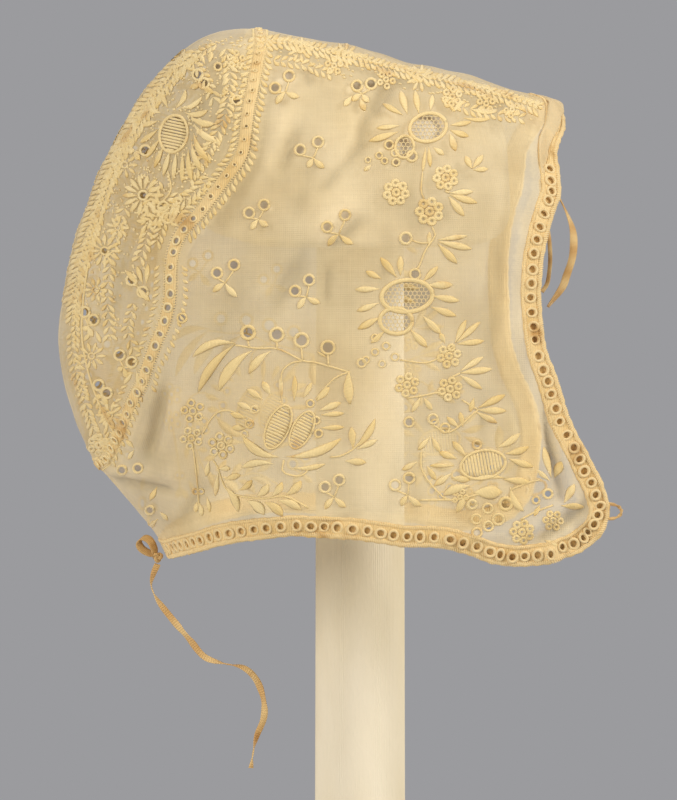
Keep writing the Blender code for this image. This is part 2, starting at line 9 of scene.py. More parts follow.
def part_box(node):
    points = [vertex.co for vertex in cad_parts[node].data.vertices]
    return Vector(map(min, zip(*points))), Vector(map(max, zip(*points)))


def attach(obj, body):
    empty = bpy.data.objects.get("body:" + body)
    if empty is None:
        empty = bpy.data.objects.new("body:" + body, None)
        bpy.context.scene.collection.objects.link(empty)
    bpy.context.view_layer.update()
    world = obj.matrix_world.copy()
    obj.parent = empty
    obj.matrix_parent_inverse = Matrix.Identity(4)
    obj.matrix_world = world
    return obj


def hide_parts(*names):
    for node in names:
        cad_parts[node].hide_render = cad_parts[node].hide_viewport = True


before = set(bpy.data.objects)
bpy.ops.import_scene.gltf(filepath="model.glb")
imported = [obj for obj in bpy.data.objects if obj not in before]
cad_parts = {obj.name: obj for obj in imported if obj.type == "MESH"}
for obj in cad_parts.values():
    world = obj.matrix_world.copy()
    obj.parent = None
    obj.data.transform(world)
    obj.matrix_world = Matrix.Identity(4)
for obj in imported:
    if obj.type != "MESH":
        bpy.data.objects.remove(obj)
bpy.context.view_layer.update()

print("frame loaded")

# camera: the photo looks at the wearer's right side, from a little behind
photo = {
    "across": 677, "down": 800,
    "metresPerPixel": 0.00029,     # at the aim
    "distance": 1.6,
    "azimuth": -95.5, "elevation": 3.0,
    "aim": (0.0, 0.0063, 0.1906),
    "sensor": 36.0,
}


def viewAxes():
    turn = math.radians(photo["azimuth"])
    rise = math.radians(photo["elevation"])
    away = np.array((math.sin(turn) * math.cos(rise), -math.cos(turn) * math.cos(rise), math.sin(rise)))
    right = np.cross((0, 0, 1), away)
    right /= np.linalg.norm(right)
    return away, right, np.cross(away, right)


viewAway, viewRight, viewUp = viewAxes()
eye = np.array(photo["aim"]) + viewAway * photo["distance"]
focal = photo["distance"] / photo["metresPerPixel"]     # in pixels


def addCamera():
    lens = bpy.data.cameras.new("camera")
    lens.sensor_fit = "HORIZONTAL"
    lens.sensor_width = photo["sensor"]
    lens.lens = photo["sensor"] * focal / photo["across"]
    lens.clip_end = 20
    camera = bpy.data.objects.new("camera", lens)
    bpy.context.scene.collection.objects.link(camera)
    camera.location = eye
    camera.rotation_euler = Vector(-viewAway).to_track_quat("-Z", "Y").to_euler()
    bpy.context.scene.camera = camera


addCamera()


def pixelOf(points):
    apart = points - eye
    depth = -(apart @ viewAway)
    across = photo["across"] / 2 + apart @ viewRight / depth * focal
    down = photo["down"] / 2 - apart @ viewUp / depth * focal
    return np.stack([across, down], axis=-1)


# nodes and materials


def linear(red, green, blue):
    shares = [c / 255 for c in (red, green, blue)]
    return tuple(c / 12.92 if c <= 0.04 else ((c + 0.055) / 1.055) ** 2.4 for c in shares)


def newMaterial(name):
    material = bpy.data.materials.new(name)
    material.use_nodes = True
    nodes = material.node_tree.nodes
    shader = nodes["Principled BSDF"]
    return material, nodes, material.node_tree.links, shader


def noiseNode(nodes, links, coords, scale, detail=3.0, stretch=(1, 1, 1)):
    mapping = nodes.new("ShaderNodeMapping")
    mapping.inputs["Scale"].default_value = stretch
    links.new(coords, mapping.inputs["Vector"])
    noise = nodes.new("ShaderNodeTexNoise")
    noise.inputs["Scale"].default_value = scale
    noise.inputs["Detail"].default_value = detail
    links.new(mapping.outputs["Vector"], noise.inputs["Vector"])
    return noise.outputs["Fac"]


def rampNode(nodes, links, value, stops):
    ramp = nodes.new("ShaderNodeValToRGB")
    while len(ramp.color_ramp.elements) < len(stops):
        ramp.color_ramp.elements.new(0.5)
    for element, (at, colour) in zip(ramp.color_ramp.elements, stops):
        element.position = at
        element.color = (*colour, 1.0)
    links.new(value, ramp.inputs["Fac"])
    return ramp.outputs["Color"]


def mathNode(nodes, links, operation, first, second=0.0, third=None):
    node = nodes.new("ShaderNodeMath")
    node.operation = operation
    for socket, value in zip(node.inputs, (first, second, third)):
        if value is None:
            continue
        if isinstance(value, (int, float)):
            socket.default_value = value
        else:
            links.new(value, socket)
    return node.outputs[0]


def mixColour(nodes, links, factor, first, second, blend="MIX"):
    mix = nodes.new("ShaderNodeMix")
    mix.data_type = "RGBA"
    mix.blend_type = blend
    for socket, value in ((mix.inputs[0], factor), (mix.inputs[6], first), (mix.inputs[7], second)):
        if isinstance(value, (int, float)):
            socket.default_value = value
        elif isinstance(value, tuple):
            socket.default_value = (*value, 1.0)
        else:
            links.new(value, socket)
    return mix.outputs[2]


def attributeNode(nodes, label):
    node = nodes.new("ShaderNodeAttribute")
    node.attribute_name = label
    return node.outputs["Fac"]


# multiplies a colour by a painted shade level
def shaded(nodes, links, colour, paintedShadeLevel):
    shade = nodes.new("ShaderNodeCombineColor")
    for socket in shade.inputs:
        links.new(paintedShadeLevel, socket)
    return mixColour(nodes, links, 1.0, colour, shade.outputs[0], "MULTIPLY")


def waveNode(nodes, links, coords, scale, direction, distortion=0.0):
    wave = nodes.new("ShaderNodeTexWave")
    wave.bands_direction = direction
    wave.inputs["Scale"].default_value = scale
    wave.inputs["Distortion"].default_value = distortion
    wave.inputs["Detail"].default_value = 1.0
    links.new(coords, wave.inputs["Vector"])
    return wave.outputs["Fac"]


def bumpNode(nodes, links, shader, height, strength, distance):
    bump = nodes.new("ShaderNodeBump")
    bump.inputs["Strength"].default_value = strength
    bump.inputs["Distance"].default_value = distance
    links.new(height, bump.inputs["Height"])
    links.new(bump.outputs["Normal"], shader.inputs["Normal"])


muslinLook = {
    "pale": (239, 216, 168), "deep": (229, 202, 148), "stain": (216, 178, 108),
    "cover": 0.56, "coverSwing": 0.07, "haze": 0.36, "hemCover": 0.1,
    # foldShade: painted shade in the fold hollows and painted highlight on the fold ridges; foldCover:
    # denser cloth in the hollows
    "foldShade": 0.60, "foldCover": 0.34,
    "threadsPerMetre": 1900, "slubs": (1500, 60),
    "cloudScale": 38, "stainScale": 17, "hazeScale": 85, "rough": 0.92,
}
threadLook = {"pale": (245, 218, 158), "deep": (232, 196, 122), "amber": (200, 148, 70),
              "pitch": 0.42, "sheen": 0.25, "amberSpots": 0.5}
trimLook = {"pale": (240, 209, 150), "deep": (226, 188, 120), "amber": (190, 138, 64),
            "pitch": 0.5, "sheen": 0.2, "amberSpots": 0.75}
backLook = {"pale": (246, 212, 146), "deep": (226, 184, 112), "amber": (186, 134, 64),
            "pitch": 0.5, "sheen": 0.1, "amberSpots": 0.5}
tapeLook = {"pale": (228, 192, 130), "deep": (200, 152, 88), "amber": (172, 112, 50),
            "pitch": 0.5, "sheen": 0.1, "amberSpots": 0.5}
postLook = {"pale": (234, 221, 196), "deep": (214, 198, 164), "weaveScale": 900, "rough": 0.95}
footLook = {"pale": (236, 232, 220), "deep": (225, 220, 206), "rough": 0.45}


def muslinMaterial():
    look = muslinLook
    material, nodes, links, shader = newMaterial("agedMuslin")
    uv = nodes.new("ShaderNodeUVMap")
    uv.uv_map = "weave"
    place = nodes.new("ShaderNodeTexCoord").outputs["Object"]
    fine, coarse = look["slubs"]
    warp = noiseNode(nodes, links, uv.outputs["UV"], 1.0, 2.0, (fine, coarse, 1))
    weft = noiseNode(nodes, links, uv.outputs["UV"], 1.0, 2.0, (coarse, fine, 1))
    slubs = mathNode(nodes, links, "ADD", warp, weft)
    cloud = noiseNode(nodes, links, place, look["cloudScale"], 4.0)
    colour = rampNode(nodes, links, cloud, [(0.30, linear(*look["deep"])), (0.66, linear(*look["pale"]))])
    spots = noiseNode(nodes, links, place, look["stainScale"], 5.0)
    stained = mathNode(nodes, links, "MULTIPLY_ADD", spots, 5.0, -3.15)
    stained = mathNode(nodes, links, "MINIMUM", mathNode(nodes, links, "MAXIMUM", stained, 0.0), 0.7)
    colour = mixColour(nodes, links, stained, colour, linear(*look["stain"]))
    # painted shade darkens the fold hollows and painted highlight lightens the fold ridges; the folds also
    # make the cloth denser
    toneAndShade = attributeNode(nodes, "toneAndShade")
    paintedShadeLevel = mathNode(nodes, links, "MULTIPLY_ADD", toneAndShade, -look["foldShade"], 1 + look["foldShade"] / 2)
    links.new(shaded(nodes, links, colour, paintedShadeLevel), shader.inputs["Base Color"])
    least = look["cover"] - look["coverSwing"]
    swing = mathNode(nodes, links, "MULTIPLY_ADD", slubs, look["coverSwing"], least)
    haze = noiseNode(nodes, links, place, look["hazeScale"], 3.0, (1, 1, 0.7))
    hazy = mathNode(nodes, links, "MULTIPLY_ADD", haze, look["haze"], -look["haze"] / 2)
    folded = mathNode(nodes, links, "MULTIPLY_ADD", toneAndShade, look["foldCover"], -look["foldCover"] / 2)
    swing = mathNode(nodes, links, "ADD", swing, hazy)
    swing = mathNode(nodes, links, "ADD", swing, folded)
    alpha = mathNode(nodes, links, "MULTIPLY_ADD", attributeNode(nodes, "hem"), look["hemCover"], swing)
    alpha = mathNode(nodes, links, "MINIMUM", alpha, 1.0)
    links.new(alpha, shader.inputs["Alpha"])
    across = waveNode(nodes, links, uv.outputs["UV"], look["threadsPerMetre"] / 3.14, "X", 1.5)
    down = waveNode(nodes, links, uv.outputs["UV"], look["threadsPerMetre"] / 3.14, "Y", 1.5)
    threads = mathNode(nodes, links, "ADD", across, down)
    height = mathNode(nodes, links, "MULTIPLY_ADD", slubs, 2.0, threads)
    bumpNode(nodes, links, shader, height, 0.4, 0.00012)
    shader.inputs["Roughness"].default_value = look["rough"]
    shader.inputs["Specular IOR Level"].default_value = 0.15
    shader.inputs["Sheen Weight"].default_value = 0.15
    shader.inputs["Sheen Roughness"].default_value = 0.5
    return material


def threadMaterial(name, look):
    material, nodes, links, shader = newMaterial(name)
    uv = nodes.new("ShaderNodeUVMap")
    uv.uv_map = "weave"
    place = nodes.new("ShaderNodeTexCoord").outputs["Object"]
    toneAndShade = attributeNode(nodes, "toneAndShade")
    colour = mixColour(nodes, links, toneAndShade, linear(*look["pale"]), linear(*look["deep"]))
    spots = noiseNode(nodes, links, place, 120, 3.0)
    spotted = mathNode(nodes, links, "MULTIPLY_ADD", spots, 5.0, -3.0)
    spotted = mathNode(nodes, links, "MAXIMUM", spotted, 0.0)
    spotted = mathNode(nodes, links, "MINIMUM", spotted, look["amberSpots"])
    colour = mixColour(nodes, links, spotted, colour, linear(*look["amber"]))
    # painted shade between the satin strands; the same waves also give the bump
    strands = waveNode(nodes, links, uv.outputs["UV"], 1 / look["pitch"] / 3.14, "X", 2.0)
    paintedShadeLevel = mathNode(nodes, links, "MULTIPLY_ADD", strands, 0.16, 0.86)
    links.new(shaded(nodes, links, colour, paintedShadeLevel), shader.inputs["Base Color"])
    grain = noiseNode(nodes, links, place, 2600, 2.0)
    height = mathNode(nodes, links, "MULTIPLY_ADD", grain, 0.6, strands)
    bumpNode(nodes, links, shader, height, 0.6, 0.00016)
    shader.inputs["Roughness"].default_value = 0.62
    shader.inputs["Specular IOR Level"].default_value = 0.3
    shader.inputs["Sheen Weight"].default_value = look["sheen"]
    shader.inputs["Sheen Roughness"].default_value = 0.4
    return material


def postMaterial():
    look = postLook
    material, nodes, links, shader = newMaterial("ribbedPostCloth")
    place = nodes.new("ShaderNodeTexCoord").outputs["Object"]
    cloud = noiseNode(nodes, links, place, 25, 3.0, (1, 1, 0.4))
    colour = rampNode(nodes, links, cloud, [(0.3, linear(*look["deep"])), (0.7, linear(*look["pale"]))])
    links.new(colour, shader.inputs["Base Color"])
    weave = noiseNode(nodes, links, place, look["weaveScale"], 2.0, (1, 1, 0.35))
    bumpNode(nodes, links, shader, weave, 0.55, 0.0003)
    shader.inputs["Roughness"].default_value = look["rough"]
    shader.inputs["Specular IOR Level"].default_value = 0.1
    shader.inputs["Sheen Weight"].default_value = 0.1
    return material


def footMaterial():
    look = footLook
    material, nodes, links, shader = newMaterial("paintedFoot")
    place = nodes.new("ShaderNodeTexCoord").outputs["Object"]
    grain = noiseNode(nodes, links, place, 60, 4.0, (1, 8, 1))
    colour = rampNode(nodes, links, grain, [(0.3, linear(*look["deep"])), (0.7, linear(*look["pale"]))])
    links.new(colour, shader.inputs["Base Color"])
    bumpNode(nodes, links, shader, grain, 0.15, 0.0003)
    shader.inputs["Roughness"].default_value = look["rough"]
    return material


muslin = muslinMaterial()
thread = threadMaterial("satinThread", threadLook)
trimThread = threadMaterial("trimThread", trimLook)
backing = threadMaterial("stainedBacking", backLook)
tape = threadMaterial("amberTape", tapeLook)
postCloth = postMaterial()
footPaint = footMaterial()


def newPiece(name, points, faces, material, uv=None, toneAndShade=None, hem=None, closeUp=True):
    mesh = bpy.data.meshes.new(name)
    mesh.from_pydata(np.asarray(points).tolist(), [], [tuple(int(k) for k in f) for f in faces])
    mesh.validate()
    if closeUp:
        bm = bmesh.new()
        bm.from_mesh(mesh)
        bmesh.ops.recalc_face_normals(bm, faces=bm.faces)
        bm.to_mesh(mesh)
        bm.free()
    if uv is not None:
        layer = mesh.uv_layers.new(name="weave")
        corners = np.empty(len(mesh.loops), np.int32)
        mesh.loops.foreach_get("vertex_index", corners)
        layer.data.foreach_set("uv", np.asarray(uv)[corners].astype(np.float32).ravel())
    for label, values in (("toneAndShade", toneAndShade), ("hem", hem)):
        if values is not None:
            layer = mesh.attributes.new(label, "FLOAT", "POINT")
            layer.data.foreach_set("value", np.asarray(values, np.float32))
    mesh.shade_smooth()
    mesh.materials.append(material)
    piece = bpy.data.objects.new(name, mesh)
    bpy.context.scene.collection.objects.link(piece)
    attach(piece, "root")
    return piece


# free ties: the same routes as their solids, in millimetres
ties = {
    "nape": {"width": 0.0020, "thick": 0.00034, "points": (
        (0.0, 58.9, 143.3), (0.3, 60.2, 140.2), (0.6, 60.7, 136.8), (0.5, 59.0, 132.9),
        (0.0, 54.0, 126.4), (-0.5, 49.6, 121.2), (-0.6, 45.3, 116.2), (-0.3, 39.5, 114.2),
        (0.2, 33.8, 112.8), (0.6, 30.1, 109.1), (0.6, 28.1, 103.3), (0.2, 28.1, 98.1),
        (-0.2, 30.1, 93.2), (-0.4, 31.2, 88.6), (-0.5, 31.9, 83.7))},
    "frontLong": {"width": 0.0022, "thick": 0.00030, "points": (
        (-39.4, -49.9, 254.0), (-39.5, -51.1, 252.0), (-40.0, -52.7, 249.7), (-41.4, -54.9, 244.9),
        (-42.5, -56.2, 240.7), (-43.1, -56.4, 236.5), (-43.4, -55.9, 232.5), (-43.5, -54.4, 228.0),
        (-43.5, -53.0, 224.3), (-43.2, -49.0, 218.9))},
    "frontShort": {"width": 0.0012, "thick": 0.00030, "points": (
        (-39.7, -47.4, 254.9), (-40.6, -47.4, 251.3), (-41.6, -47.6, 247.6), (-42.3, -48.3, 244.0),
        (-42.9, -49.1, 240.7), (-43.4, -49.5, 236.5), (-43.8, -49.6, 232.5), (-44.0, -49.3, 228.9),
        (-44.0, -48.7, 225.5), (-43.9, -47.2, 223.2))},
}
tieNodes = {"nape": "nape_tie", "frontLong": "front_tie_long", "frontShort": "front_tie_short"}


def splineThrough(points, steps):
    # a smooth curve through all the points
    ring = np.concatenate([[2 * points[0] - points[1]], points, [2 * points[-1] - points[-2]]])
    run = []
    for k in range(1, len(ring) - 2):
        for t in np.arange(steps) / steps:
            bend = (ring[k + 1] - ring[k - 1]) * t
            bend = bend + (2 * ring[k - 1] - 5 * ring[k] + 4 * ring[k + 1] - ring[k + 2]) * t**2
            bend = bend + (3 * ring[k] - ring[k - 1] - 3 * ring[k + 1] + ring[k + 2]) * t**3
            run.append(ring[k] + bend / 2)
    run.append(points[-1])
    return np.array(run)


def smoothPath(points, count):
    run = splineThrough(np.asarray(points, float), 12)
    lengths = np.concatenate([[0], np.cumsum(np.linalg.norm(np.diff(run, axis=0), axis=1))])
    at = np.linspace(0, lengths[-1], count)
    return np.stack([np.interp(at, lengths, run[:, k]) for k in range(run.shape[1])], axis=-1), lengths[-1]


def tubeFaces(rows, columns, start=0, flip=False, closed=False):
    faces = []
    for k in range(rows if closed else rows - 1):
        step = columns if k < rows - 1 else -k * columns
        for j in range(columns):
            p = start + k * columns + j
            q = start + k * columns + (j + 1) % columns
            faces.append((p, p + step, q + step, q) if flip else (p, q, q + step, p + step))
    return faces


def endFaces(rows, columns, start=0, flipFirst=False):
    last = start + (rows - 1) * columns
    first = tuple(range(start, start + columns))
    return [first[::-1] if flipFirst else first, tuple(range(last, last + columns))]


def tapeRun(name, path, width, thick, turns):
    # a flat tape along a path, turned by the given angles
    ahead = np.gradient(path, axis=0)
    ahead /= np.linalg.norm(ahead, axis=1)[:, None]
    side = np.cross(ahead, viewAway)
    side /= np.linalg.norm(side, axis=1)[:, None]
    flat = np.cross(side, ahead)
    wide = side * np.cos(turns)[:, None] + flat * np.sin(turns)[:, None]
    deep = np.cross(ahead, wide)
    across = np.array([-1, -0.86, 0, 0.86, 1, 0.86, 0, -0.86])
    rise = np.array([0, 1, 0.55, 1, 0, -1, -0.55, -1]) * thick / 2
    points = path[:, None] + wide[:, None] * (across * width / 2)[None, :, None]
    points = points + deep[:, None] * rise[None, :, None]
    count = len(across)
    faces = tubeFaces(len(path), count) + endFaces(len(path), count, 0, True)
    run = np.linspace(0, 1, len(path)) * len(path) * 0.6
    uv = np.stack([np.repeat(run, count), np.tile(across, len(path))], axis=-1)
    toneAndShade = np.clip(0.45 + 0.35 * np.sin(np.repeat(run, count) * 0.7), 0, 1)
    return newPiece(name, points.reshape(-1, 3), faces, tape, uv, toneAndShade)


def addTies():
    made = {}
    for key, node in tieNodes.items():
        facts = ties[key]
        path, length = smoothPath(np.array(facts["points"]) / 1000, 90)
        t = np.linspace(0, 1, 90)
        turns = {"nape": 0.45 + 1.25 * np.sin(t * 15) ** 3, "frontLong": 0.5 + 0.9 * np.sin(t * 7 + 0.3),
                 "frontShort": 0.3 + 0.6 * np.sin(t * 6)}[key]
        piece = tapeRun(node + "_tape", path, facts["width"], facts["thick"], turns)
        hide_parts(node)
        made[key] = (piece, path, length, facts["width"])
    return made


def declareTies(made):
    for key, (piece, path, length, width) in made.items():
        print(key, "tie", round(length * 1000, 1), "mm")


tieParts = addTies()
declareTies(tieParts)

# the cap's surface: an inflated side view, in shares of its depth and height
cap = {
    "depth": 0.158, "height": 0.156, "halfWidth": 0.054,
    "neck": 0.150, "rise": 0.409, "fold": 0.0042,
    "edging": 0.0058, "insertion": 0.0034, "gap": 0.0003,
    "ripple": 0.0005, "rippleCell": 0.014, "fineCell": 0.006, "crumpleCell": 0.0036,
    "seenShift": 0.033,         # the right side stands this share forward of the middle in the photo
}
outlineRows = (
    (0.347, 0.407), (0.258, 0.437), (0.166, 0.461), (0.074, 0.483), (-0.018, 0.508),
    (-0.111, 0.527), (-0.190, 0.540), (-0.262, 0.533), (-0.318, 0.506), (-0.369, 0.455),
    (-0.424, 0.378), (-0.476, 0.282), (-0.508, 0.195), (-0.533, 0.115), (-0.547, 0.040),
    (-0.550, -0.015), (-0.548, -0.074), (-0.538, -0.130), (-0.520, -0.190), (-0.498, -0.243),
    (-0.457, -0.297), (-0.409, -0.352), (-0.372, -0.398), (-0.350, -0.446), (-0.330, -0.520),
    (-0.204, -0.669), (0.000, -0.800), (0.260, -0.800), (0.742, -0.660), (0.700, -0.242),
    (0.560, 0.000), (0.520, 0.180), (0.430, 0.340),
)
# the cut edge: right side forward, right side up, left side forward, left side up
edgeRows = (
    (0.347, 0.407, 0.347, 0.407), (0.360, 0.384, 0.360, 0.384), (0.353, 0.350, 0.353, 0.350),
    (0.335, 0.315, 0.338, 0.315), (0.335, 0.272, 0.336, 0.272), (0.334, 0.235, 0.334, 0.235),
    (0.318, 0.193, 0.322, 0.193), (0.302, 0.140, 0.314, 0.140), (0.294, 0.080, 0.312, 0.080),
    (0.295, 0.020, 0.315, 0.020), (0.302, -0.040, 0.321, -0.050), (0.323, -0.097, 0.338, -0.108),
    (0.346, -0.170, 0.366, -0.170), (0.377, -0.230, 0.378, -0.228), (0.405, -0.285, 0.375, -0.285),
    (0.418, -0.330, 0.367, -0.330), (0.411, -0.365, 0.352, -0.366), (0.388, -0.396, 0.325, -0.394),
    (0.345, -0.420, 0.290, -0.410), (0.280, -0.435, 0.248, -0.418), (0.214, -0.432, 0.203, -0.416),
    (0.156, -0.412, 0.156, -0.408), (0.105, -0.400, 0.105, -0.400), (0.045, -0.398, 0.045, -0.396),
    (-0.032, -0.386, -0.032, -0.386), (-0.106, -0.381, -0.106, -0.381), (-0.173, -0.381, -0.173, -0.383),
    (-0.259, -0.396, -0.259, -0.398), (-0.308, -0.415, -0.308, -0.415), (-0.339, -0.430, -0.339, -0.430),
    (-0.353, -0.440, -0.353, -0.440),
)
cornerRow = 17                  # the row at the lower front corner
# the seam between the two panels: forward, up
seamRows = (
    (-0.183, 0.540), (-0.195, 0.508), (-0.213, 0.444), (-0.226, 0.390), (-0.240, 0.311),
    (-0.275, 0.260), (-0.313, 0.208), (-0.348, 0.168), (-0.364, 0.122), (-0.366, 0.060),
    (-0.376, 0.010), (-0.396, -0.041), (-0.415, -0.100), (-0.433, -0.140), (-0.449, -0.185),
    (-0.462, -0.222), (-0.474, -0.250), (-0.485, -0.268),
)
# folds: side (0 both), forward, up, run in degrees, length, width, depth as a share of cap["fold"]
foldRows = (
    (0, 0.345, 0.372, 80, 0.060, 0.030, 0.10), (-1, 0.334, 0.318, 80, 0.034, 0.010, -0.42),
    (-1, 0.255, 0.405, 12, 0.040, 0.010, -0.40), (-1, 0.039, 0.414, 55, 0.048, 0.010, -0.44),
    (-1, 0.0035, 0.346, 74, 0.036, 0.009, -0.30), (-1, -0.037, 0.279, 49, 0.055, 0.010, -0.34),
    (-1, -0.022, 0.335, 70, 0.055, 0.013, 0.26), (-1, 0.040, 0.330, 66, 0.060, 0.018, 0.16),
    (-1, -0.095, 0.455, 88, 0.022, 0.008, -0.30), (-1, -0.027, 0.164, 44, 0.045, 0.013, -0.34),
    (-1, -0.045, 0.190, 44, 0.050, 0.018, 0.26), (-1, -0.060, 0.078, 88, 0.036, 0.007, -0.26),
    (-1, -0.366, -0.180, 78, 0.066, 0.012, -0.62), (-1, -0.340, -0.178, 84, 0.060, 0.012, 0.36),
    (-1, -0.392, -0.299, -6, 0.050, 0.009, -0.48), (-1, -0.385, -0.272, -6, 0.050, 0.012, 0.24),
    (-1, -0.240, 0.000, 60, 0.075, 0.020, -0.22), (-1, -0.205, 0.010, 60, 0.080, 0.022, 0.22),
    (-1, -0.150, 0.060, 40, 0.090, 0.016, -0.16), (-1, -0.300, 0.100, 75, 0.060, 0.016, 0.20),
    (-1, 0.265, 0.060, 84, 0.130, 0.014, 0.22), (-1, 0.240, 0.060, 84, 0.120, 0.012, -0.20),
    (-1, 0.285, 0.200, 78, 0.060, 0.012, 0.20), (-1, 0.300, -0.060, 98, 0.090, 0.012, 0.20),
    (-1, 0.345, -0.235, 104, 0.085, 0.012, -0.42), (-1, 0.365, -0.255, 104, 0.080, 0.010, 0.34),
    (-1, 0.322, -0.240, 96, 0.090, 0.012, 0.22), (-1, 0.360, -0.360, 38, 0.060, 0.010, -0.40),
    (-1, 0.335, -0.345, 38, 0.060, 0.011, 0.34), (-1, 0.200, -0.380, 8, 0.070, 0.012, 0.22),
    (-1, 0.060, -0.280, 80, 0.080, 0.020, -0.16), (-1, 0.160, -0.150, 100, 0.090, 0.018, -0.16),
    (-1, -0.155, 0.325, 66, 0.085, 0.017, 0.22), (-1, -0.128, 0.316, 68, 0.045, 0.009, -0.32),
    (-1, -0.242, -0.048, 59, 0.085, 0.012, -0.26), (-1, -0.100, 0.250, 72, 0.060, 0.014, -0.18),
    (-1, -0.130, 0.080, 64, 0.070, 0.013, -0.20), (-1, 0.040, 0.120, 84, 0.060, 0.012, -0.18),
    (-1, 0.120, 0.020, 80, 0.070, 0.013, -0.20), (-1, -0.300, -0.330, 62, 0.050, 0.012, -0.26),
    (-1, -0.060, -0.360, 20, 0.070, 0.012, -0.20), (-1, 0.215, -0.205, 88, 0.070, 0.011, -0.22),
    (-1, -0.300, 0.380, 52, 0.070, 0.014, -0.26), (-1, -0.440, 0.060, 76, 0.080, 0.014, -0.26),
    (-1, -0.200, -0.330, 85, 0.080, 0.022, -0.20), (-1, -0.280, -0.360, 70, 0.060, 0.016, 0.26),
    (1, -0.360, -0.230, 80, 0.080, 0.020, -0.45), (1, 0.280, 0.150, 95, 0.100, 0.020, 0.36),
    (1, 0.150, -0.300, 88, 0.120, 0.022, -0.36), (1, 0.000, 0.350, 58, 0.100, 0.016, -0.36),
    (1, -0.040, 0.200, 48, 0.090, 0.020, 0.30), (1, 0.330, -0.260, 100, 0.080, 0.014, -0.36),
    (1, -0.220, 0.030, 60, 0.090, 0.022, -0.24), (1, 0.100, 0.080, 70, 0.100, 0.020, 0.24),
    (0, -0.500, 0.120, 75, 0.060, 0.022, 0.30), (0, -0.300, -0.345, 70, 0.070, 0.016, -0.30),
)
# crumpled spots: side, forward, up, reach, height in metres
crumpleRows = (
    (-1, 0.375, -0.385, 0.085, 0.0011), (1, 0.318, -0.385, 0.080, 0.0010), (0, 0.340, 0.370, 0.050, 0.0005),
    (-1, 0.250, -0.420, 0.080, 0.0005), (0, -0.340, -0.425, 0.050, 0.0005),
    (-1, -0.440, -0.250, 0.055, 0.0005), (-1, 0.300, 0.150, 0.120, 0.0003),
    (-1, -0.200, 0.420, 0.100, 0.0004),
)


def outlineTable():
    rows = sorted((math.atan2(up, fwd), math.hypot(fwd, up)) for fwd, up in outlineRows)
    angles = np.array([row[0] for row in rows])
    reaches = np.tile([row[1] for row in rows], 3)
    turns = np.concatenate([angles - math.tau, angles, angles + math.tau])
    return turns, reaches, np.gradient(reaches, turns)


turnTable, reachTable, slopeTable = outlineTable()


def reachOf(angle):
    k = np.searchsorted(turnTable, angle) - 1
    step = turnTable[k + 1] - turnTable[k]
    t = (angle - turnTable[k]) / step
    ends = (2 * t**3 - 3 * t**2 + 1) * reachTable[k] + (3 * t**2 - 2 * t**3) * reachTable[k + 1]
    return ends + step * ((t**3 - 2 * t**2 + t) * slopeTable[k] + (t**3 - t**2) * slopeTable[k + 1])


def toChart(flat, onRidge=False):
    angle = np.arctan2(flat[..., 1], flat[..., 0])
    limit = reachOf(angle)
    share = np.minimum(np.hypot(flat[..., 0], flat[..., 1]) / limit, 0.9999)
    spread = np.where(onRidge, 1.0, 2 * np.sin(np.arcsin(share) / 3))
    return np.stack([np.cos(angle), np.sin(angle)], axis=-1) * (limit * spread)[..., None]


def bare(chart, side):
    angle = np.arctan2(chart[:, 1], chart[:, 0])
    limit = reachOf(angle)
    spread = np.minimum(np.hypot(chart[:, 0], chart[:, 1]) / limit, 1.0)
    share = (3 * spread - spread**3) / 2
    fwd = np.cos(angle) * limit * share
    up = np.sin(angle) * limit * share
    bulge = np.sqrt(np.maximum(0.0, 1 - share**3))
    middle = cap["neck"] + cap["rise"] * cap["height"]
    at = (side * cap["halfWidth"] * bulge, -fwd * cap["depth"], middle + up * cap["height"])
    return np.stack(at, axis=-1), fwd, up


def tangents(chart, side):
    step = 0.002
    inward = np.where(chart > 0, -step, step)
    base = bare(chart, side)[0]
    shiftF = bare(chart + inward * (1, 0), side)[0]
    shiftU = bare(chart + inward * (0, 1), side)[0]
    return (shiftF - base) / inward[:, :1], (shiftU - base) / inward[:, 1:]


def placeFolds():
    # the rows are as seen in the photo; on the right side they move back by the stand of that side
    placed = []
    for side, fwd, up, *rest in foldRows:
        share = min(1.0, math.hypot(fwd, up) / float(reachOf(math.atan2(up, fwd))))
        back = cap["seenShift"] * math.sqrt(1 - share**3) if side < 0 else 0.0
        placed.append((side, fwd - back, up, *rest))
    return placed


placedFolds = placeFolds()


def foldLift(fwd, up, side):
    lift = np.zeros(len(fwd))
    for foldSide, atFwd, atUp, run, length, width, depth in placedFolds:
        turn = math.radians(run)
        along = (fwd - atFwd) * math.cos(turn) + (up - atUp) * math.sin(turn)
        across = (up - atUp) * math.cos(turn) - (fwd - atFwd) * math.sin(turn)
        bump = depth * np.exp(-((along / length) ** 4) - (across / width) ** 2)
        lift += bump if foldSide == 0 else np.where(side == foldSide, bump, 0.0)
    return lift * cap["fold"]


def crumpleLift(at, fwd, up, side):
    weight = np.zeros(len(fwd))
    for spotSide, atFwd, atUp, reach, height in crumpleRows:
        near = height * np.exp(-((fwd - atFwd) ** 2 + (up - atUp) ** 2) / reach**2)
        weight += near if spotSide == 0 else np.where(side == spotSide, near, 0.0)
    near = weight > 0.000005
    weight[near] *= softNoise(at[near], cap["crumpleCell"], 7.7)
    return np.where(near, weight, 0.0)


lattice = np.random.default_rng(7).random((16, 16, 16)) * 2 - 1


def softNoise(points, cell, shift=0.0):
    # smooth noise in space, from -1 to 1
    q = points / cell + shift
    low = np.floor(q).astype(int)
    t = q - low
    t = t * t * (3 - 2 * t)
    total = 0.0
    for i in (0, 1):
        for j in (0, 1):
            for k in (0, 1):
                weight = np.abs(1 - i - t[:, 0]) * np.abs(1 - j - t[:, 1]) * np.abs(1 - k - t[:, 2])
                x, y, z = ((low + (i, j, k)) % 16).T
                total = total + weight * lattice[x, y, z]
    return total


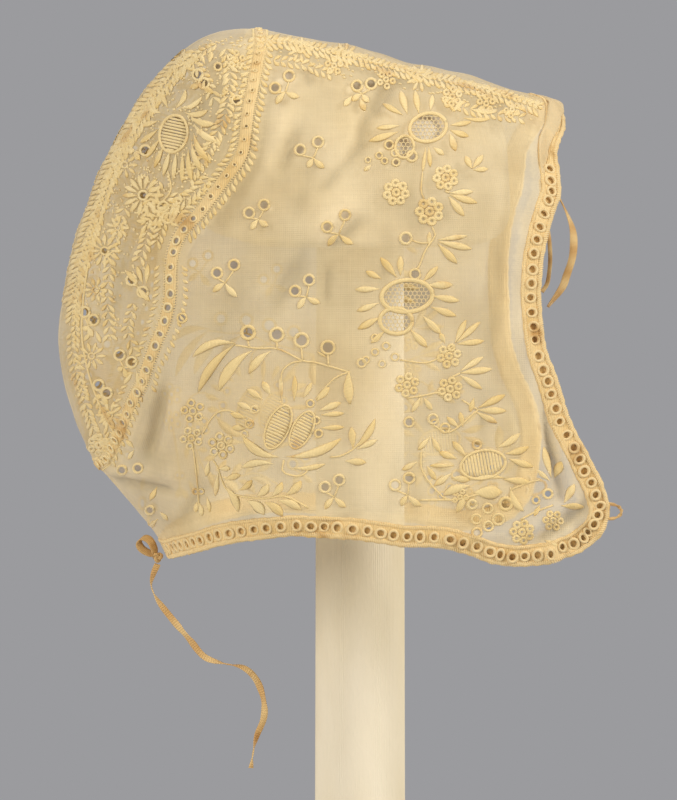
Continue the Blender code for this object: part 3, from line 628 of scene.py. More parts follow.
def surfaceAt(chart, side, lift=0.0):
    side = np.broadcast_to(np.asarray(side, float), (len(chart),))
    at, fwd, up = bare(chart, side)
    alongF, alongU = tangents(chart, side)
    out = np.cross(alongF, alongU) * -side[:, None]
    onRidge = np.hypot(chart[:, 0], chart[:, 1]) > 0.9995 * reachOf(np.arctan2(chart[:, 1], chart[:, 0]))
    at[onRidge, 0] = 0.0
    out[onRidge, 0] = 0.0
    out /= np.linalg.norm(out, axis=1)[:, None]
    foldSide = np.where(onRidge, 0, side)
    height = foldLift(fwd, up, foldSide) + crumpleLift(at, fwd, up, foldSide) + lift
    ripple = softNoise(at, cap["rippleCell"]) + 0.5 * softNoise(at, cap["fineCell"], 3.3)
    height = height + cap["ripple"] * ripple
    return at + out * height[:, None], out


def frameAt(chart, heading, side):
    alongF, alongU = tangents(chart, np.broadcast_to(float(side), (len(chart),)))
    run = alongF * heading[:, :1] + alongU * heading[:, 1:]
    one = heading / np.linalg.norm(run, axis=1)[:, None]
    square = np.stack([-(alongU * run).sum(1), (alongF * run).sum(1)], axis=-1)
    turned = alongF * square[:, :1] + alongU * square[:, 1:]
    return one, square / np.linalg.norm(turned, axis=1)[:, None]


# curves on the surface


runSteps = 10                   # points of a run from one row to the next


def smoothRun(rows):
    rows = np.array(rows, float)
    ridge = np.zeros(len(rows), bool)
    ridge[[0, -1]] = True
    return splineThrough(toChart(rows, ridge), runSteps)


def lengthsAlong(run, side):
    places = bare(run, float(side))[0]
    return np.concatenate([[0.0], np.cumsum(np.linalg.norm(np.diff(places, axis=0), axis=1))])


def pick(run, lengths, at):
    return np.stack([np.interp(at, lengths, run[:, 0]), np.interp(at, lengths, run[:, 1])], axis=-1)


def headingAt(run, lengths, at, reach=0.001):
    later, earlier = np.minimum(at + reach, lengths[-1]), np.maximum(at - reach, 0)
    return pick(run, lengths, later) - pick(run, lengths, earlier)


def shifted(run, lengths, at, side, offset):
    # the run moved square to itself, by an offset in metres
    at = np.asarray(at, float)
    chart = pick(run, lengths, at)
    square = frameAt(chart, headingAt(run, lengths, at), side)[1]
    moved = chart + square * np.broadcast_to(offset, (len(at),))[:, None]
    for k in np.flatnonzero((at < 1e-9) | (at > lengths[-1] - 1e-9)):
        angle = math.atan2(moved[k, 1], moved[k, 0])
        moved[k] = np.array((math.cos(angle), math.sin(angle))) * float(reachOf(angle))
    return moved


def ridgeRun(start, end, spacing):
    first = math.atan2(start[1], start[0])
    last = math.atan2(end[1], end[0])
    if abs(last - first) > math.pi:
        last += math.copysign(math.tau, first - last)
    count = max(2, round(abs(last - first) * float(reachOf(first)) * cap["depth"] / spacing))
    angles = first + (last - first) * np.arange(1, count) / count
    return np.stack([np.cos(angles), np.sin(angles)], axis=-1) * reachOf(angles)[:, None]


mesher = {"spread": 1.4, "reach": 0.9, "rowPitch": 0.87, "rimShare": 0.55}


def inside(points, loop):
    hits = np.zeros(len(points), bool)
    for a, b in zip(loop, np.roll(loop, -1, axis=0)):
        spans = (a[1] > points[:, 1]) != (b[1] > points[:, 1])
        rise = b[1] - a[1] if b[1] != a[1] else 1e-12
        hits ^= spans & (points[:, 0] < a[0] + (points[:, 1] - a[1]) / rise * (b[0] - a[0]))
    return hits


def nearLoop(points, loop, reach):
    near = np.zeros(len(points), bool)
    low, high = loop.min(0) - reach, loop.max(0) + reach
    close = np.flatnonzero(((points > low) & (points < high)).all(1))
    for part in np.array_split(close, max(1, len(close) * len(loop) // 2000000)):
        apart = np.linalg.norm(points[part][:, None] - loop[None], axis=2).min(axis=1)
        near[part] = apart < reach
    return near


def insideSome(points, holes):
    hits = np.zeros(len(points), bool)
    for hole in holes:
        close = np.flatnonzero(((points > hole.min(0)) & (points < hole.max(0))).all(1))
        if len(close):
            hits[close] |= inside(points[close], hole)
    return hits


def triangulate(loop, holes, spacing):
    # a field of even triangles inside the loop and round the holes
    pitch = spacing / cap["depth"] / mesher["spread"]
    rows = np.arange(-mesher["reach"], mesher["reach"], pitch * mesher["rowPitch"])
    columns = np.arange(-mesher["reach"], mesher["reach"], pitch)
    grid = np.stack(np.meshgrid(columns, rows), axis=-1)
    grid[1::2, :, 0] += pitch / 2
    grid = grid.reshape(-1, 2)
    grid = grid[inside(grid, loop)]
    for ring in (loop, *holes):
        grid = grid[~nearLoop(grid, ring, pitch * mesher["rimShare"])]
    grid = grid[~insideSome(grid, holes)]
    points, edges = [], []
    for ring in (loop, *holes):
        start = len(points)
        points += [Vector(p) for p in ring]
        edges += [(start + k, start + (k + 1) % len(ring)) for k in range(len(ring))]
    points += [Vector(p) for p in grid]
    cut = geometry.delaunay_2d_cdt(points, edges, [], 0, 1e-7)
    charts = np.array([tuple(v) for v in cut[0]])
    faces = np.array([f for f in cut[2] if len(f) == 3])
    centres = charts[faces].mean(axis=1)
    kept = inside(centres, loop) & ~insideSome(centres, holes)
    return charts, faces[kept]


def sideRows(side):
    first = 0 if side < 0 else 2
    return [(row[first], row[first + 1]) for row in edgeRows]


def spaced(start, end, spacing):
    return np.linspace(start, end, max(2, round((end - start) / spacing) + 1))


runs = {}
for side in (-1, 1):
    edge = smoothRun(sideRows(side))
    seam = smoothRun(seamRows)
    runs[side] = {"edge": edge, "edgeLengths": lengthsAlong(edge, side)}
    runs[side].update({"seam": seam, "seamLengths": lengthsAlong(seam, side)})
    runs[side]["corner"] = runs[side]["edgeLengths"][cornerRow * runSteps]
print("edges measured", {side: round(float(r["edgeLengths"][-1]) * 1000) for side, r in runs.items()})


# from the photo's pixels to the right side of the cap; the first guess is in millimetres
search = {"across": 376, "down": 320, "wide": 0.2914, "high": 0.29,
          "step": (0.0018, -0.00185), "pace": 0.85, "passes": 45}


def flatOf(pixels):
    # a first guess from the side view, then small steps until the camera sees each point at its pixel
    pixels = np.asarray(pixels, float)
    fwd = (pixels[:, 0] - search["across"]) * search["wide"] / (cap["depth"] * 1000)
    up = (pixels[:, 1] - search["down"]) * -search["high"] / (cap["height"] * 1000)
    flat = np.stack([fwd, up], axis=-1)
    for again in range(search["passes"]):
        flat = keepInside(flat)
        seen = pixelOf(surfaceAt(toChart(flat), -1)[0])
        flat = flat + (pixels - seen) * search["step"] * search["pace"]
    return keepInside(flat)


def keepInside(flat):
    limit = reachOf(np.arctan2(flat[:, 1], flat[:, 0])) * 0.9995
    size = np.hypot(flat[:, 0], flat[:, 1])
    return flat * np.minimum(1, limit / np.maximum(size, 1e-9))[:, None]


def toLeft(flat):
    # the same place on the left side, whose front and neck edges lie a little further back
    front = np.array([(row[1], row[0], row[2]) for row in edgeRows[:cornerRow + 1]])[::-1]
    right = np.interp(flat[:, 1], front[:, 0], front[:, 1])
    left = np.interp(flat[:, 1], front[:, 0], front[:, 2])
    nearFront = np.clip((flat[:, 0] / right - 0.25) / 0.75, 0, 1)
    fwd = flat[:, 0] * (1 + (left / right - 1) * nearFront)
    neck = np.array([(row[0], row[1], row[3]) for row in edgeRows[cornerRow:]])[::-1]
    lift = np.interp(flat[:, 0], neck[:, 0], neck[:, 2] - neck[:, 1])
    up = flat[:, 1] + lift * np.clip((-0.25 - flat[:, 1]) / 0.15, 0, 1)
    return np.stack([fwd, up], axis=-1)


# whitework, drawn in the photo's pixels
# heights in millimetres, widths and spacings in pixels
work = {
    "pixel": 0.29,              # millimetres
    "satinHeight": 0.42,        # of a leaf 8 pixels wide
    "leafPoint": 1.35, "leafBlunt": 0.75, "leafLeast": 0.35,
    "stemWidth": 2.0, "stemHeight": 0.26, "ringHeight": 0.34, "rimHeight": 0.42,
    "sprigHole": 3.9, "sprigRing": 6.4, "sprigLeaf": 7, "sprigStem": 0.9,
    "loopHeight": 0.30, "petalShare": 0.26,
    "netCell": 4.4, "netThread": 0.42, "netHeight": 0.10,
    "barPitch": 3.1, "barHalf": (1.15, 1.5), "barHeight": 0.2, "barSpan": 24, "barReach": 26,
    "clear": 0.00005,           # metres between the stitches and the cloth
}

# leaves and petals: from across, from down, to across, to down, width, bend
leafRows = (
    # big flower of the lower side
    (253.5, 410.4, 237.4, 402.7, 6, 0), (262.7, 399.6, 247.4, 388.9, 7, 0),
    (270.4, 395, 262.7, 381.3, 8, 0), (281.8, 399.6, 280.3, 377.4, 5, 0),
    (294.1, 401.2, 294.9, 375.9, 6, 0), (303.3, 398.1, 311.7, 382.8, 6, 0),
    (316.3, 401.2, 329.3, 387.4, 8, 0), (319.4, 410.4, 340.8, 402.7, 8, 0),
    (320.9, 414.9, 343.9, 413.4, 6, 0), (320.9, 428, 343.9, 427.2, 6, 0),
    (245.8, 418, 230.5, 413.4, 7, 0), (245.8, 428.7, 232.1, 427.2, 7, 0),
    (279, 457, 242.8, 436.4, 10, -0.13), (285.7, 456.6, 340.8, 438.7, 10, 0.09),
    (235, 344.5, 198.4, 392, 10, 0.08), (252, 350.6, 219, 390.4, 12, 0.10),
    (270.3, 351.4, 248.9, 373.6, 9, 0.08), (235.9, 343.7, 193, 356.8, 9, 0.15),
    (349.2, 370.5, 350, 404.2, 11, 0.04), (317, 351.5, 326, 357, 3, 0),
    (273.4, 464, 241.3, 467.8, 8, 0.10), (293, 468, 325, 464, 6, 0.06), (239, 490, 252, 480, 7, 0.1),
    (256.6, 496.1, 268.1, 484.6, 9, 0.1), (271.9, 496.1, 281.8, 482.3, 8, 0.1),
    (285.7, 494.6, 301, 480.8, 9, 0.1), (247.4, 500.7, 264.2, 514.5, 11, -0.1),
    (264.2, 502.2, 282.6, 516, 10, -0.1), (278, 500.7, 301, 509.9, 9, -0.1),
    (218.3, 473.1, 215.2, 496.1, 6, 0), (209.1, 460.9, 206, 476.2, 6, 0),
    (225.2, 486.9, 238.2, 511.4, 9, -0.1), (224.4, 479.3, 240.5, 474.7, 7, 0),
    (219.8, 468.5, 230.5, 468.5, 6, 0), (353, 449, 351.5, 427.2, 8, 0), (354, 448.6, 375, 419, 8, 0.08),
    (357, 449, 377, 440, 7, 0), (345.4, 460.9, 366, 462.4, 8, 0), (197, 502, 195.5, 512, 6, 0),
    (200, 503, 202, 516, 6, 0), (207, 497, 210, 512, 5, 0),
    # flower at the top of the front band
    (402.7, 115.1, 382.8, 103.6, 6, 0), (407.3, 114.3, 400.4, 90.6, 8, 0),
    (418.8, 113.6, 415, 90.6, 7, 0), (430.3, 110.5, 432.6, 95.2, 6, 0),
    (399.7, 125.8, 376.7, 128.1, 6, 0), (398.2, 131.9, 369.1, 141.1, 8, 0),
    (450.2, 125.3, 471, 122.3, 6, 0), (450.2, 130.4, 468.5, 136.5, 7, 0),
    (450.2, 133.5, 455.5, 151, 8, 0), (433.3, 147.2, 444, 154.9, 6, 0),
    (428.8, 147.2, 430.3, 167.1, 5, 0), (425.7, 147.2, 422.6, 172, 4, 0), (470, 109, 495, 112, 6, 0.05),
    (464, 118, 490, 119, 5, 0.05), (452, 112, 462, 103, 6, 0), (371, 165, 364, 171, 5, 0),
    (471.6, 168.6, 465.5, 156, 7, 0), (472.5, 168.6, 483, 155, 7, 0), (473, 170, 488, 169, 6, 0),
    (449.4, 193.1, 473.1, 191.6, 7, 0), (449.4, 194.5, 477, 203, 8, 0),
    (448.4, 196.5, 464, 216.1, 8, 0), (437.9, 239.8, 467, 236, 6, 0), (438.4, 241.5, 471.6, 249, 8, 0),
    (438, 244, 457, 263.5, 8, 0), (428.8, 246, 429.5, 232, 5, 0),
    # flower in the middle of the front band
    (396.6, 277.3, 380.5, 257.4, 8, 0), (400.4, 275.8, 400.4, 255.9, 7, 0),
    (381.3, 278.8, 366, 271.2, 7, 0), (379.5, 289, 355.3, 289.5, 7, 0), (379, 303, 357, 311, 7, 0),
    (380.5, 317, 358, 329, 8, 0), (385, 331, 371, 343, 6, 0), (422.6, 281.9, 437.9, 266.6, 7, 0),
    (427.7, 285, 452.5, 285, 9, 0), (433, 296, 459, 301, 8, 0), (431, 307, 456, 316, 8, 0),
    (423, 316, 441, 334, 8, 0), (411, 330, 427, 347, 8, 0), (455, 343, 466, 320, 7, 0),
    (456, 343, 480, 322, 7, 0), (457, 344, 484, 341, 7, 0), (445, 343, 440, 333, 6, 0),
    (460, 371, 483, 357, 7, 0), (460, 373, 492, 369, 8, 0), (460, 375, 482, 389, 7, 0),
    (474, 398, 470, 412, 6, 0), (478, 408, 505, 395, 8, 0), (478, 410, 506, 411, 8, 0),
    (476, 412, 497, 423, 7, 0),
    # flower of the lower front
    (497, 447.5, 519.7, 433.4, 8, 0.06), (505, 453.5, 528.4, 446.8, 8, 0.06),
    (509, 458.8, 533, 467, 8, 0), (504, 479, 530.4, 482.3, 8, 0), (510.4, 487, 523.7, 511, 8, 0.12),
    (466.2, 456.2, 452.8, 441.4, 7, 0), (456.8, 458.8, 439.4, 452.1, 8, 0),
    (454, 465.5, 430, 465.5, 5, 0), (451.4, 473.6, 434, 485.6, 7, 0),
    (470.2, 485.6, 443.4, 495, 10, 0.06), (466.2, 495, 456.8, 512.4, 8, 0),
    (452, 477.5, 470, 480, 8, 0), (469, 480, 504, 478, 5, -0.06), (473, 492.3, 502, 492.3, 15, 0),
    (551.2, 477.6, 543.8, 446.8, 8, 0), (554.5, 477.6, 561.2, 461.5, 10, 0), (550, 481, 537, 470, 5, 0),
    (563.9, 503, 574.6, 484.3, 9, 0), (561.2, 505.7, 584, 507, 7, 0), (540, 505, 534, 516, 5, 0),
    (545, 540, 560, 546, 6, 0), (430, 437, 418, 450, 6, 0), (432, 437, 440, 452, 6, 0),
    (417, 462, 402, 470, 6, 0), (427, 466, 436, 480, 6, 0), (459, 428, 447, 417, 6, 0),
    (463, 427, 460, 412, 6, 0), (420, 398, 412, 412, 6, 0), (424, 398, 432, 410, 6, 0),
    # crown: the large feather flower
    (180.5, 108, 202, 97, 6, 0.15), (184.6, 112.4, 208, 110, 7, 0.15), (190, 116, 215, 124, 8, 0.12),
    (194, 124, 218, 142, 8, 0.1), (193.9, 133, 211, 163, 8, 0.1), (191.9, 142, 203, 172, 7, 0.08),
    (188.6, 148.6, 192.5, 182, 7, 0.05), (183, 152, 182, 183, 6, 0), (176.5, 152, 173, 180, 6, 0),
    (170.5, 150, 163, 176, 6, 0), (164, 146, 154, 168, 6, 0), (176, 108, 186, 90, 6, 0.1),
    (160, 139, 146, 158, 6, 0), (158, 130, 140, 143, 6, 0), (158, 121, 142, 126, 6, 0),
    (161, 113, 147, 109, 6, 0), (168, 108, 160, 92, 6, 0), (143, 284, 137, 266, 6, 0),
    (146, 284, 148, 264, 6, 0), (133, 372, 124, 384, 5, 0), (137, 371, 139, 386, 5, 0),
    (92, 331, 84, 341, 5, 0), (96, 331, 101, 343, 5, 0), (171, 226, 179, 205, 6, 0),
    (169, 226, 174, 203, 5, 0), (173, 228, 184, 211, 6, 0), (157, 487, 150, 500, 6, 0),
    (158, 519, 148, 528, 5, 0), (160, 512, 168, 520, 5, 0), (134, 448, 126, 440, 5, 0),
    (134, 450, 128, 459, 5, 0), (352, 96, 344, 106, 7, 0), (360, 99, 365, 111, 7, 0),
    (205, 64, 200, 54, 5, 0), (209, 63, 212, 52, 6, 0), (222, 86, 228, 78, 6, 0),
)
# sprigs: two eyelets, then the tips of their two leaves
sprigRows = (
    (217, 273, 234, 265, 213, 292, 237, 297), (295, 291, 309, 280, 298, 309, 320, 303),
    (249, 213, 264, 205, 251, 230, 268, 226), (300, 150, 318, 142, 308, 168, 324, 168),
    (289, 76, 275, 88, 276, 104, 299, 97), (327, 227, 345, 215, 328, 246, 353, 244),
    (325, 487, 339, 480, 325, 509, 346, 507), (409, 478, 395, 485, 401, 506, 421, 506),
    (357, 86, 371, 84, 352, 101, 369, 102), (120, 355, 132, 362, 118, 371, 128, 378),
    (85, 312, 94, 320, 84, 331, 93, 337), (132, 280, 143, 292, 126, 271, 150, 301),
    (127, 139, 145.7, 150.6, 128, 152, 140, 160), (198, 75, 204, 83.6, 190, 88, 214, 93),
    (99, 385, 107, 393, 96, 398, 108, 404), (163.8, 206.8, 167.8, 218.2, 157, 214, 160, 228),
)
# single eyelets: across, down, hole, outer radius
ringRows = (
    (248, 332.6, 4.8, 8.2), (276.8, 334.5, 5.0, 8.0), (301.4, 340.2, 5.4, 8.2),
    (327.8, 347.6, 5.2, 7.8), (361.5, 363, 3.0, 5.2), (389, 145, 3.0, 5.2), (395, 153, 2.4, 4.4),
    (395.9, 162.5, 2.4, 4.4), (411.9, 156.4, 3.6, 6.2), (379, 155.6, 2.2, 4.0), (384.4, 161, 2.0, 3.8),
    (405.8, 238.3, 4.2, 7.0), (415, 274.2, 4.0, 6.2), (409, 422, 3.6, 5.8), (433, 419, 3.6, 5.8),
    (445, 428, 3.4, 5.6), (487.6, 508.4, 3.6, 5.8), (505.7, 503.7, 4.4, 7.6), (472.2, 504.4, 3.0, 5.6),
    (498.3, 519.1, 4.2, 6.6), (488.3, 526, 3.4, 5.8), (476.2, 519.1, 3.4, 5.8),
    (476.9, 532.5, 3.4, 5.8), (476.9, 444.6, 2.8, 5.2), (547.9, 493.7, 3.2, 5.6), (536, 500, 2.4, 4.4),
    (368, 160, 1.8, 3.4), (182, 318, 3.4, 5.6), (150, 510, 3.2, 5.2), (122, 470, 3.4, 5.6),
    (138, 468, 3.4, 5.6), (254.6, 409.5, 2.6, 4.4), (249.5, 424.0, 2.8, 4.8), (244.5, 434, 2.4, 4.0),
    (310.2, 403.5, 2.6, 4.6), (316, 420.5, 2.6, 4.6), (318.5, 433.5, 2.6, 4.6),
    (236.8, 100.4, 3.4, 5.6), (260.9, 46.8, 3.2, 5.4), (218, 66.9, 2.6, 4.6), (195.3, 491.5, 1.8, 3.4),
    (201.4, 491.5, 1.8, 3.4), (375, 338, 2.6, 4.4), (386, 346, 2.6, 4.4), (375, 352, 2.4, 4.2),
    (395, 357, 2.6, 4.4), (382, 364, 2.4, 4.2), (366, 360, 2.2, 4.0),
)
# clusters of small looped rings: across, down, radius, rings, hole share
clusterRows = (
    (193, 411, 12.5, 6, 0.5), (191.5, 438, 12, 6, 0.45), (221.3, 445.6, 14, 7, 0.5),
    (396, 192.5, 14, 8, 0.25), (445.6, 177.8, 13.5, 8, 0.25), (429.5, 211.5, 15, 8, 0.3),
    (449, 356, 13, 7, 0.3), (407, 385, 13, 7, 0.3), (450, 389, 13, 7, 0.3), (522, 532, 13, 8, 0.3),
    (553, 520.5, 11, 7, 0.3), (99, 445, 12, 7, 0.3), (460, 497, 9, 6, 0.3), (334, 66, 10, 6, 0.3),
    (386, 80, 10, 6, 0.3), (486, 104, 10, 6, 0.3), (452, 97, 11, 7, 0.3), (512, 110, 9, 6, 0.3),
    (236, 60, 10, 6, 0.3),
)
# daisies: across, down, inner radius, outer radius, petals, pierced in the middle
daisyRows = (
    (143.5, 195.4, 6, 21, 14, 1), (105, 251, 5, 17, 12, 1), (96, 290, 4, 12, 10, 0),
    (92, 356, 4, 14, 10, 0), (110, 415, 4, 14, 10, 0), (125, 165, 4, 13, 9, 0), (180, 62, 5, 15, 10, 0),
    (118, 228, 3, 12, 9, 0), (345, 55, 4, 13, 9, 0), (420, 78, 4, 14, 9, 0), (300, 50, 4, 13, 9, 0),
)
# open grounds of net, or of bars where darned: across, down, half across, half down, tilt, border, darned
lobeRows = (
    (428, 127.5, 16.5, 12, -12, 4.0, 0), (404.5, 147, 7.6, 9.4, 10, 3.2, 0),
    (407, 296, 23, 13.5, -4, 5.0, 0), (396, 321, 14, 10.5, 4, 4.6, 0), (278, 427, 10, 22, 24, 2.4, 1),
    (302, 430, 8.6, 19, 27, 2.4, 1), (483, 464.5, 21, 12.5, -10, 3.2, 1),
    (173.8, 134, 12, 17, 12, 3.4, 1),
)
# stems: across and down of the points that they pass
stemRows = (
    ((235, 345), (256.6, 348.3), (278, 349), (302.5, 360.6), (313.2, 362), (328.5, 366), (348.5, 372)),
    ((348.5, 372), (335, 378), (325, 388), (316, 399)),
    ((281, 384), (282.6, 370.5), (291.8, 362.9), (302, 361)), ((301.4, 348), (302.5, 360.6)),
    ((327.8, 355), (328.5, 366)), ((248, 341), (249, 347.5)), ((276.8, 342), (277, 349)),
    ((203, 433.3), (210.6, 419.5), (218.3, 411.9), (229, 410.4), (238, 414)),
    ((213, 460), (217.5, 467), (226, 488.5), (241.3, 496.1), (264.2, 498.4), (284.1, 496.1), (300, 503),
     (308, 508)),
    ((330, 457), (340, 456), (352, 450), (362, 440)), ((193, 448), (196, 470), (198, 490), (199, 508)),
    ((284, 460), (283, 472), (300, 476), (308, 470)),
    ((431.8, 226.8), (434.9, 236), (425.7, 249.7), (419.6, 265), (416, 270)),
    ((422.6, 172), (421, 190), (424, 199)), ((411, 240), (420, 243), (428, 243)),
    ((445, 191), (449, 193)), ((400, 360), (430, 362), (455, 345)),
    ((407, 398), (421, 396), (440, 392)), ((460, 373), (450, 378)), ((478, 410), (462, 400)),
    ((433, 425), (450, 432), (478, 410)), ((421, 452), (422, 470), (436, 490), (452, 500), (487, 492)),
    ((420, 500), (440, 500), (452, 500)), ((510, 490), (530, 482), (540, 480)),
    ((520, 520), (535, 512), (553, 505)), ((168, 171), (171, 190), (160, 205)),
    ((120, 163), (108, 200), (94, 240), (86, 280), (82, 330), (88, 370), (100, 405), (118, 440)),
)
# rows of small slanting leaves: points, pitch, length, width, lean, both sides
borderRows = (
    (((256, 34), (255, 52), (248, 82), (243, 106), (240, 128), (234, 154), (216, 182), (195, 209),
      (176, 230)),
     6.0, 10, 4.4, 52, 0),
    (((269, 36), (266, 52), (261, 82), (256, 108), (252, 132), (248, 158), (229, 186), (208, 214),
      (188, 235)),
     6.0, 10, 4.4, -52, 0),
    (((181, 262), (183, 290), (180, 312), (174, 330), (168, 346), (156, 370), (150, 392)),
     7.0, 8, 3.6, -50, 0),
    (((160, 262), (160, 290), (156, 312), (150, 330), (143, 352), (132, 376), (122, 400), (112, 424)),
     7.0, 8, 3.6, 50, 0),
    (((142, 392), (134, 408), (128, 424), (120, 444), (110, 462)), 7.0, 8, 3.6, -50, 0),
    (((198, 50), (172, 76), (144, 116), (120, 155), (104, 196), (90, 240), (78, 280), (72, 320)),
     5.5, 12, 4.2, 38, 1),
    (((186, 48), (158, 84), (128, 128), (108, 168), (92, 212), (80, 254), (70, 300)),
     5.5, 10, 4.0, 40, 1),
    (((72, 330), (74, 360), (84, 400), (96, 436), (108, 460)), 6.5, 9, 3.8, 40, 1),
    (((262, 40), (300, 46), (350, 58), (400, 71), (450, 83), (500, 96), (536, 108)),
     6.0, 11, 4.2, 40, 1),
    (((252, 37), (300, 44), (350, 55), (400, 68), (450, 80), (500, 93), (538, 105)),
     5.5, 7, 3.8, 26, 1),
    (((219, 43), (197, 56), (170, 86), (141, 124), (112, 178), (95, 235), (78, 299), (76, 345)),
     5.5, 8, 3.8, 26, 1),
    (((76, 352), (88, 410), (105, 458)), 8.0, 8, 3.8, 30, 1),
    (((226, 46), (230, 78), (224, 116), (208, 152), (190, 178)), 6.0, 11, 4.4, 42, 1),
    (((212, 176), (190, 196), (162, 214), (142, 226)), 6.5, 12, 4.8, 38, 1),
    (((166, 88), (142, 108), (124, 140), (112, 176)), 6.0, 11, 4.4, 42, 1),
    (((160, 178), (150, 206), (146, 240), (138, 262)), 6.5, 11, 4.4, 40, 1),
    (((126, 205), (114, 246), (108, 292), (110, 340)), 7.5, 10, 4.2, 40, 1),
    (((180, 190), (166, 218), (156, 244)), 6.5, 10, 4.2, 40, 1),
    (((188, 56), (206, 80), (214, 100)), 6.5, 10, 4.2, 40, 1),
    (((134, 300), (128, 330), (134, 350)), 7.5, 9, 4.0, 40, 1),
    (((96, 392), (110, 432), (104, 452)), 6.5, 9, 4.0, 40, 1),
    (((270, 60), (300, 64), (330, 74)), 7.0, 9, 4.0, 40, 1),
    (((440, 100), (480, 112), (520, 118)), 7.0, 9, 4.0, 40, 1),
)
# a slit where the trim has come away from the hem
slitOutline = ((531.5, 368), (534.5, 376), (540.5, 390), (544, 397), (541.5, 397.5), (536, 386),
               (531.8, 375))


def newBag():
    return {"pixels": [], "lift": [], "uv": [], "toneAndShade": [], "faces": [], "count": 0}


dice = np.random.default_rng(11)


def addStrip(bag, path, half, tall, toneAndShade=0.3, closed=False):
    # a rounded strip of stitches along a path in pixels; half widths in pixels, heights in millimetres
    path = np.asarray(path, float)
    count = len(path)
    half = np.broadcast_to(np.asarray(half, float), (count,))
    tall = np.broadcast_to(np.asarray(tall, float), (count,))
    ahead = (np.roll(path, -1, 0) - np.roll(path, 1, 0)) if closed else np.gradient(path, axis=0)
    size = np.linalg.norm(ahead, axis=1)[:, None]
    square = np.stack([-ahead[:, 1], ahead[:, 0]], axis=-1) / np.maximum(size, 1e-9)
    across = np.array([-1, -0.6, 0, 0.6, 1, 0])
    rise = np.array([0.0, 0.78, 1.0, 0.78, 0.0, -0.45])
    pixels = path[:, None] + square[:, None] * (across[None] * half[:, None])[..., None]
    lift = tall[:, None] * rise[None]
    steps = np.concatenate([[0], np.cumsum(np.linalg.norm(np.diff(path, axis=0), axis=1))]) * work["pixel"]
    slant = np.tile(across * 0.25, count) * half.repeat(6) * work["pixel"]
    uv = np.stack([np.repeat(steps, 6) + slant, np.tile(across, count)], axis=-1)
    bag["faces"] += tubeFaces(count, 6, bag["count"], closed=closed)
    if not closed:
        bag["faces"] += endFaces(count, 6, bag["count"], True)
    bag["pixels"].append(pixels.reshape(-1, 2))
    bag["lift"].append(lift.reshape(-1) / 1000)
    bag["uv"].append(uv)
    bag["toneAndShade"].append(np.repeat(np.broadcast_to(np.clip(toneAndShade, 0, 1), (count,)), 6))
    bag["count"] += count * 6


def addLeaf(bag, x0, y0, x1, y1, width, bend=0.0):
    t = np.linspace(0, 1, 9)
    run = np.array((x1 - x0, y1 - y0))
    path = np.array((x0, y0)) + t[:, None] * run
    path = path + (4 * t * (1 - t))[:, None] * bend * np.array((-run[1], run[0]))
    shape = np.sin(np.pi * np.clip(t, 0.02, 0.98) ** work["leafPoint"]) ** work["leafBlunt"]
    tall = work["satinHeight"] * min(1.2, width / 8) * shape + 0.06
    toneAndShade = dice.uniform(0.0, 0.6)
    half = np.maximum(width / 2 * shape, work["leafLeast"])
    # the colour deepens toward the tip: painted shade at the leaf tips
    addStrip(bag, path, half, tall, toneAndShade + dice.uniform(0, 0.9) * t**3)


def addRing(bag, across, down, hole, outer, tall=None):
    middle = (hole + outer) / 2
    tall = tall or work["ringHeight"] * min(1.0, outer / 5)
    path = ellipse(across, down, middle, middle, 0, 14)
    addStrip(bag, path, (outer - hole) / 2 + 0.2, tall, dice.uniform(0.1, 0.6), closed=True)


def ellipse(across, down, halfA, halfD, tilt, count):
    turns = np.arange(count) / count * math.tau
    c, s = math.cos(math.radians(tilt)), math.sin(math.radians(tilt))
    path = np.stack([np.cos(turns) * halfA, np.sin(turns) * halfD], axis=-1)
    return path @ np.array(((c, s), (-s, c))) + (across, down)


def addNet(bag, loop):
    # a hexagon net clipped to the opening
    cell = work["netCell"]
    low, high = loop.min(0) - cell, loop.max(0) + cell
    size = cell / math.sqrt(3)
    halfTurn = [math.radians(60 * k) for k in range(4)]
    for row in range(int((high[1] - low[1]) / (1.5 * size)) + 2):
        for column in range(int((high[0] - low[0]) / cell) + 2):
            centre = low + ((column + (row % 2) / 2) * cell, row * 1.5 * size)
            corners = [centre + size * np.array((math.sin(turn), math.cos(turn))) for turn in halfTurn]
            for a, b in zip(corners, corners[1:]):
                if inside(((a + b) / 2)[None], loop)[0]:
                    addStrip(bag, np.stack([a, b]), work["netThread"], work["netHeight"], 0.1)


def addDarning(bag, loop, tilt):
    # close bars of darning with gaps between them
    centre = loop.mean(0)
    c, s = math.cos(math.radians(tilt)), math.sin(math.radians(tilt))
    axis, square = np.array((c, s)), np.array((-s, c))
    span, reach = work["barSpan"], work["barReach"]
    for k in np.arange(-span, span + 1, work["barPitch"]):
        line = centre + square * k + axis[None] * np.linspace(-reach, reach, 53)[:, None]
        held = line[inside(line, loop)]
        if len(held) > 2:
            ends = np.stack([held[0] - axis * 0.8, held[-1] + axis * 0.8])
            path = np.linspace(ends[0], ends[1], 5)
            addStrip(bag, path, dice.uniform(*work["barHalf"]), work["barHeight"], 0.15)


def addBorder(bag, points, pitch, length, width, lean, bothSides):
    path, total = smoothPath(points, 200)
    lengths = np.linspace(0, total, 200)
    ahead = np.gradient(path, axis=0)
    for at in np.arange(pitch / 2, total, pitch):
        x, y = np.interp(at, lengths, path[:, 0]), np.interp(at, lengths, path[:, 1])
        heading = math.atan2(np.interp(at, lengths, ahead[:, 1]), np.interp(at, lengths, ahead[:, 0]))
        for sign in ((1, -1) if bothSides else (1,)):
            turn = heading + math.radians(lean * sign) + dice.uniform(-0.12, 0.12)
            long = length * dice.uniform(0.8, 1.1)
            addLeaf(bag, x, y, x + math.cos(turn) * long, y + math.sin(turn) * long, width, 0.06 * sign)


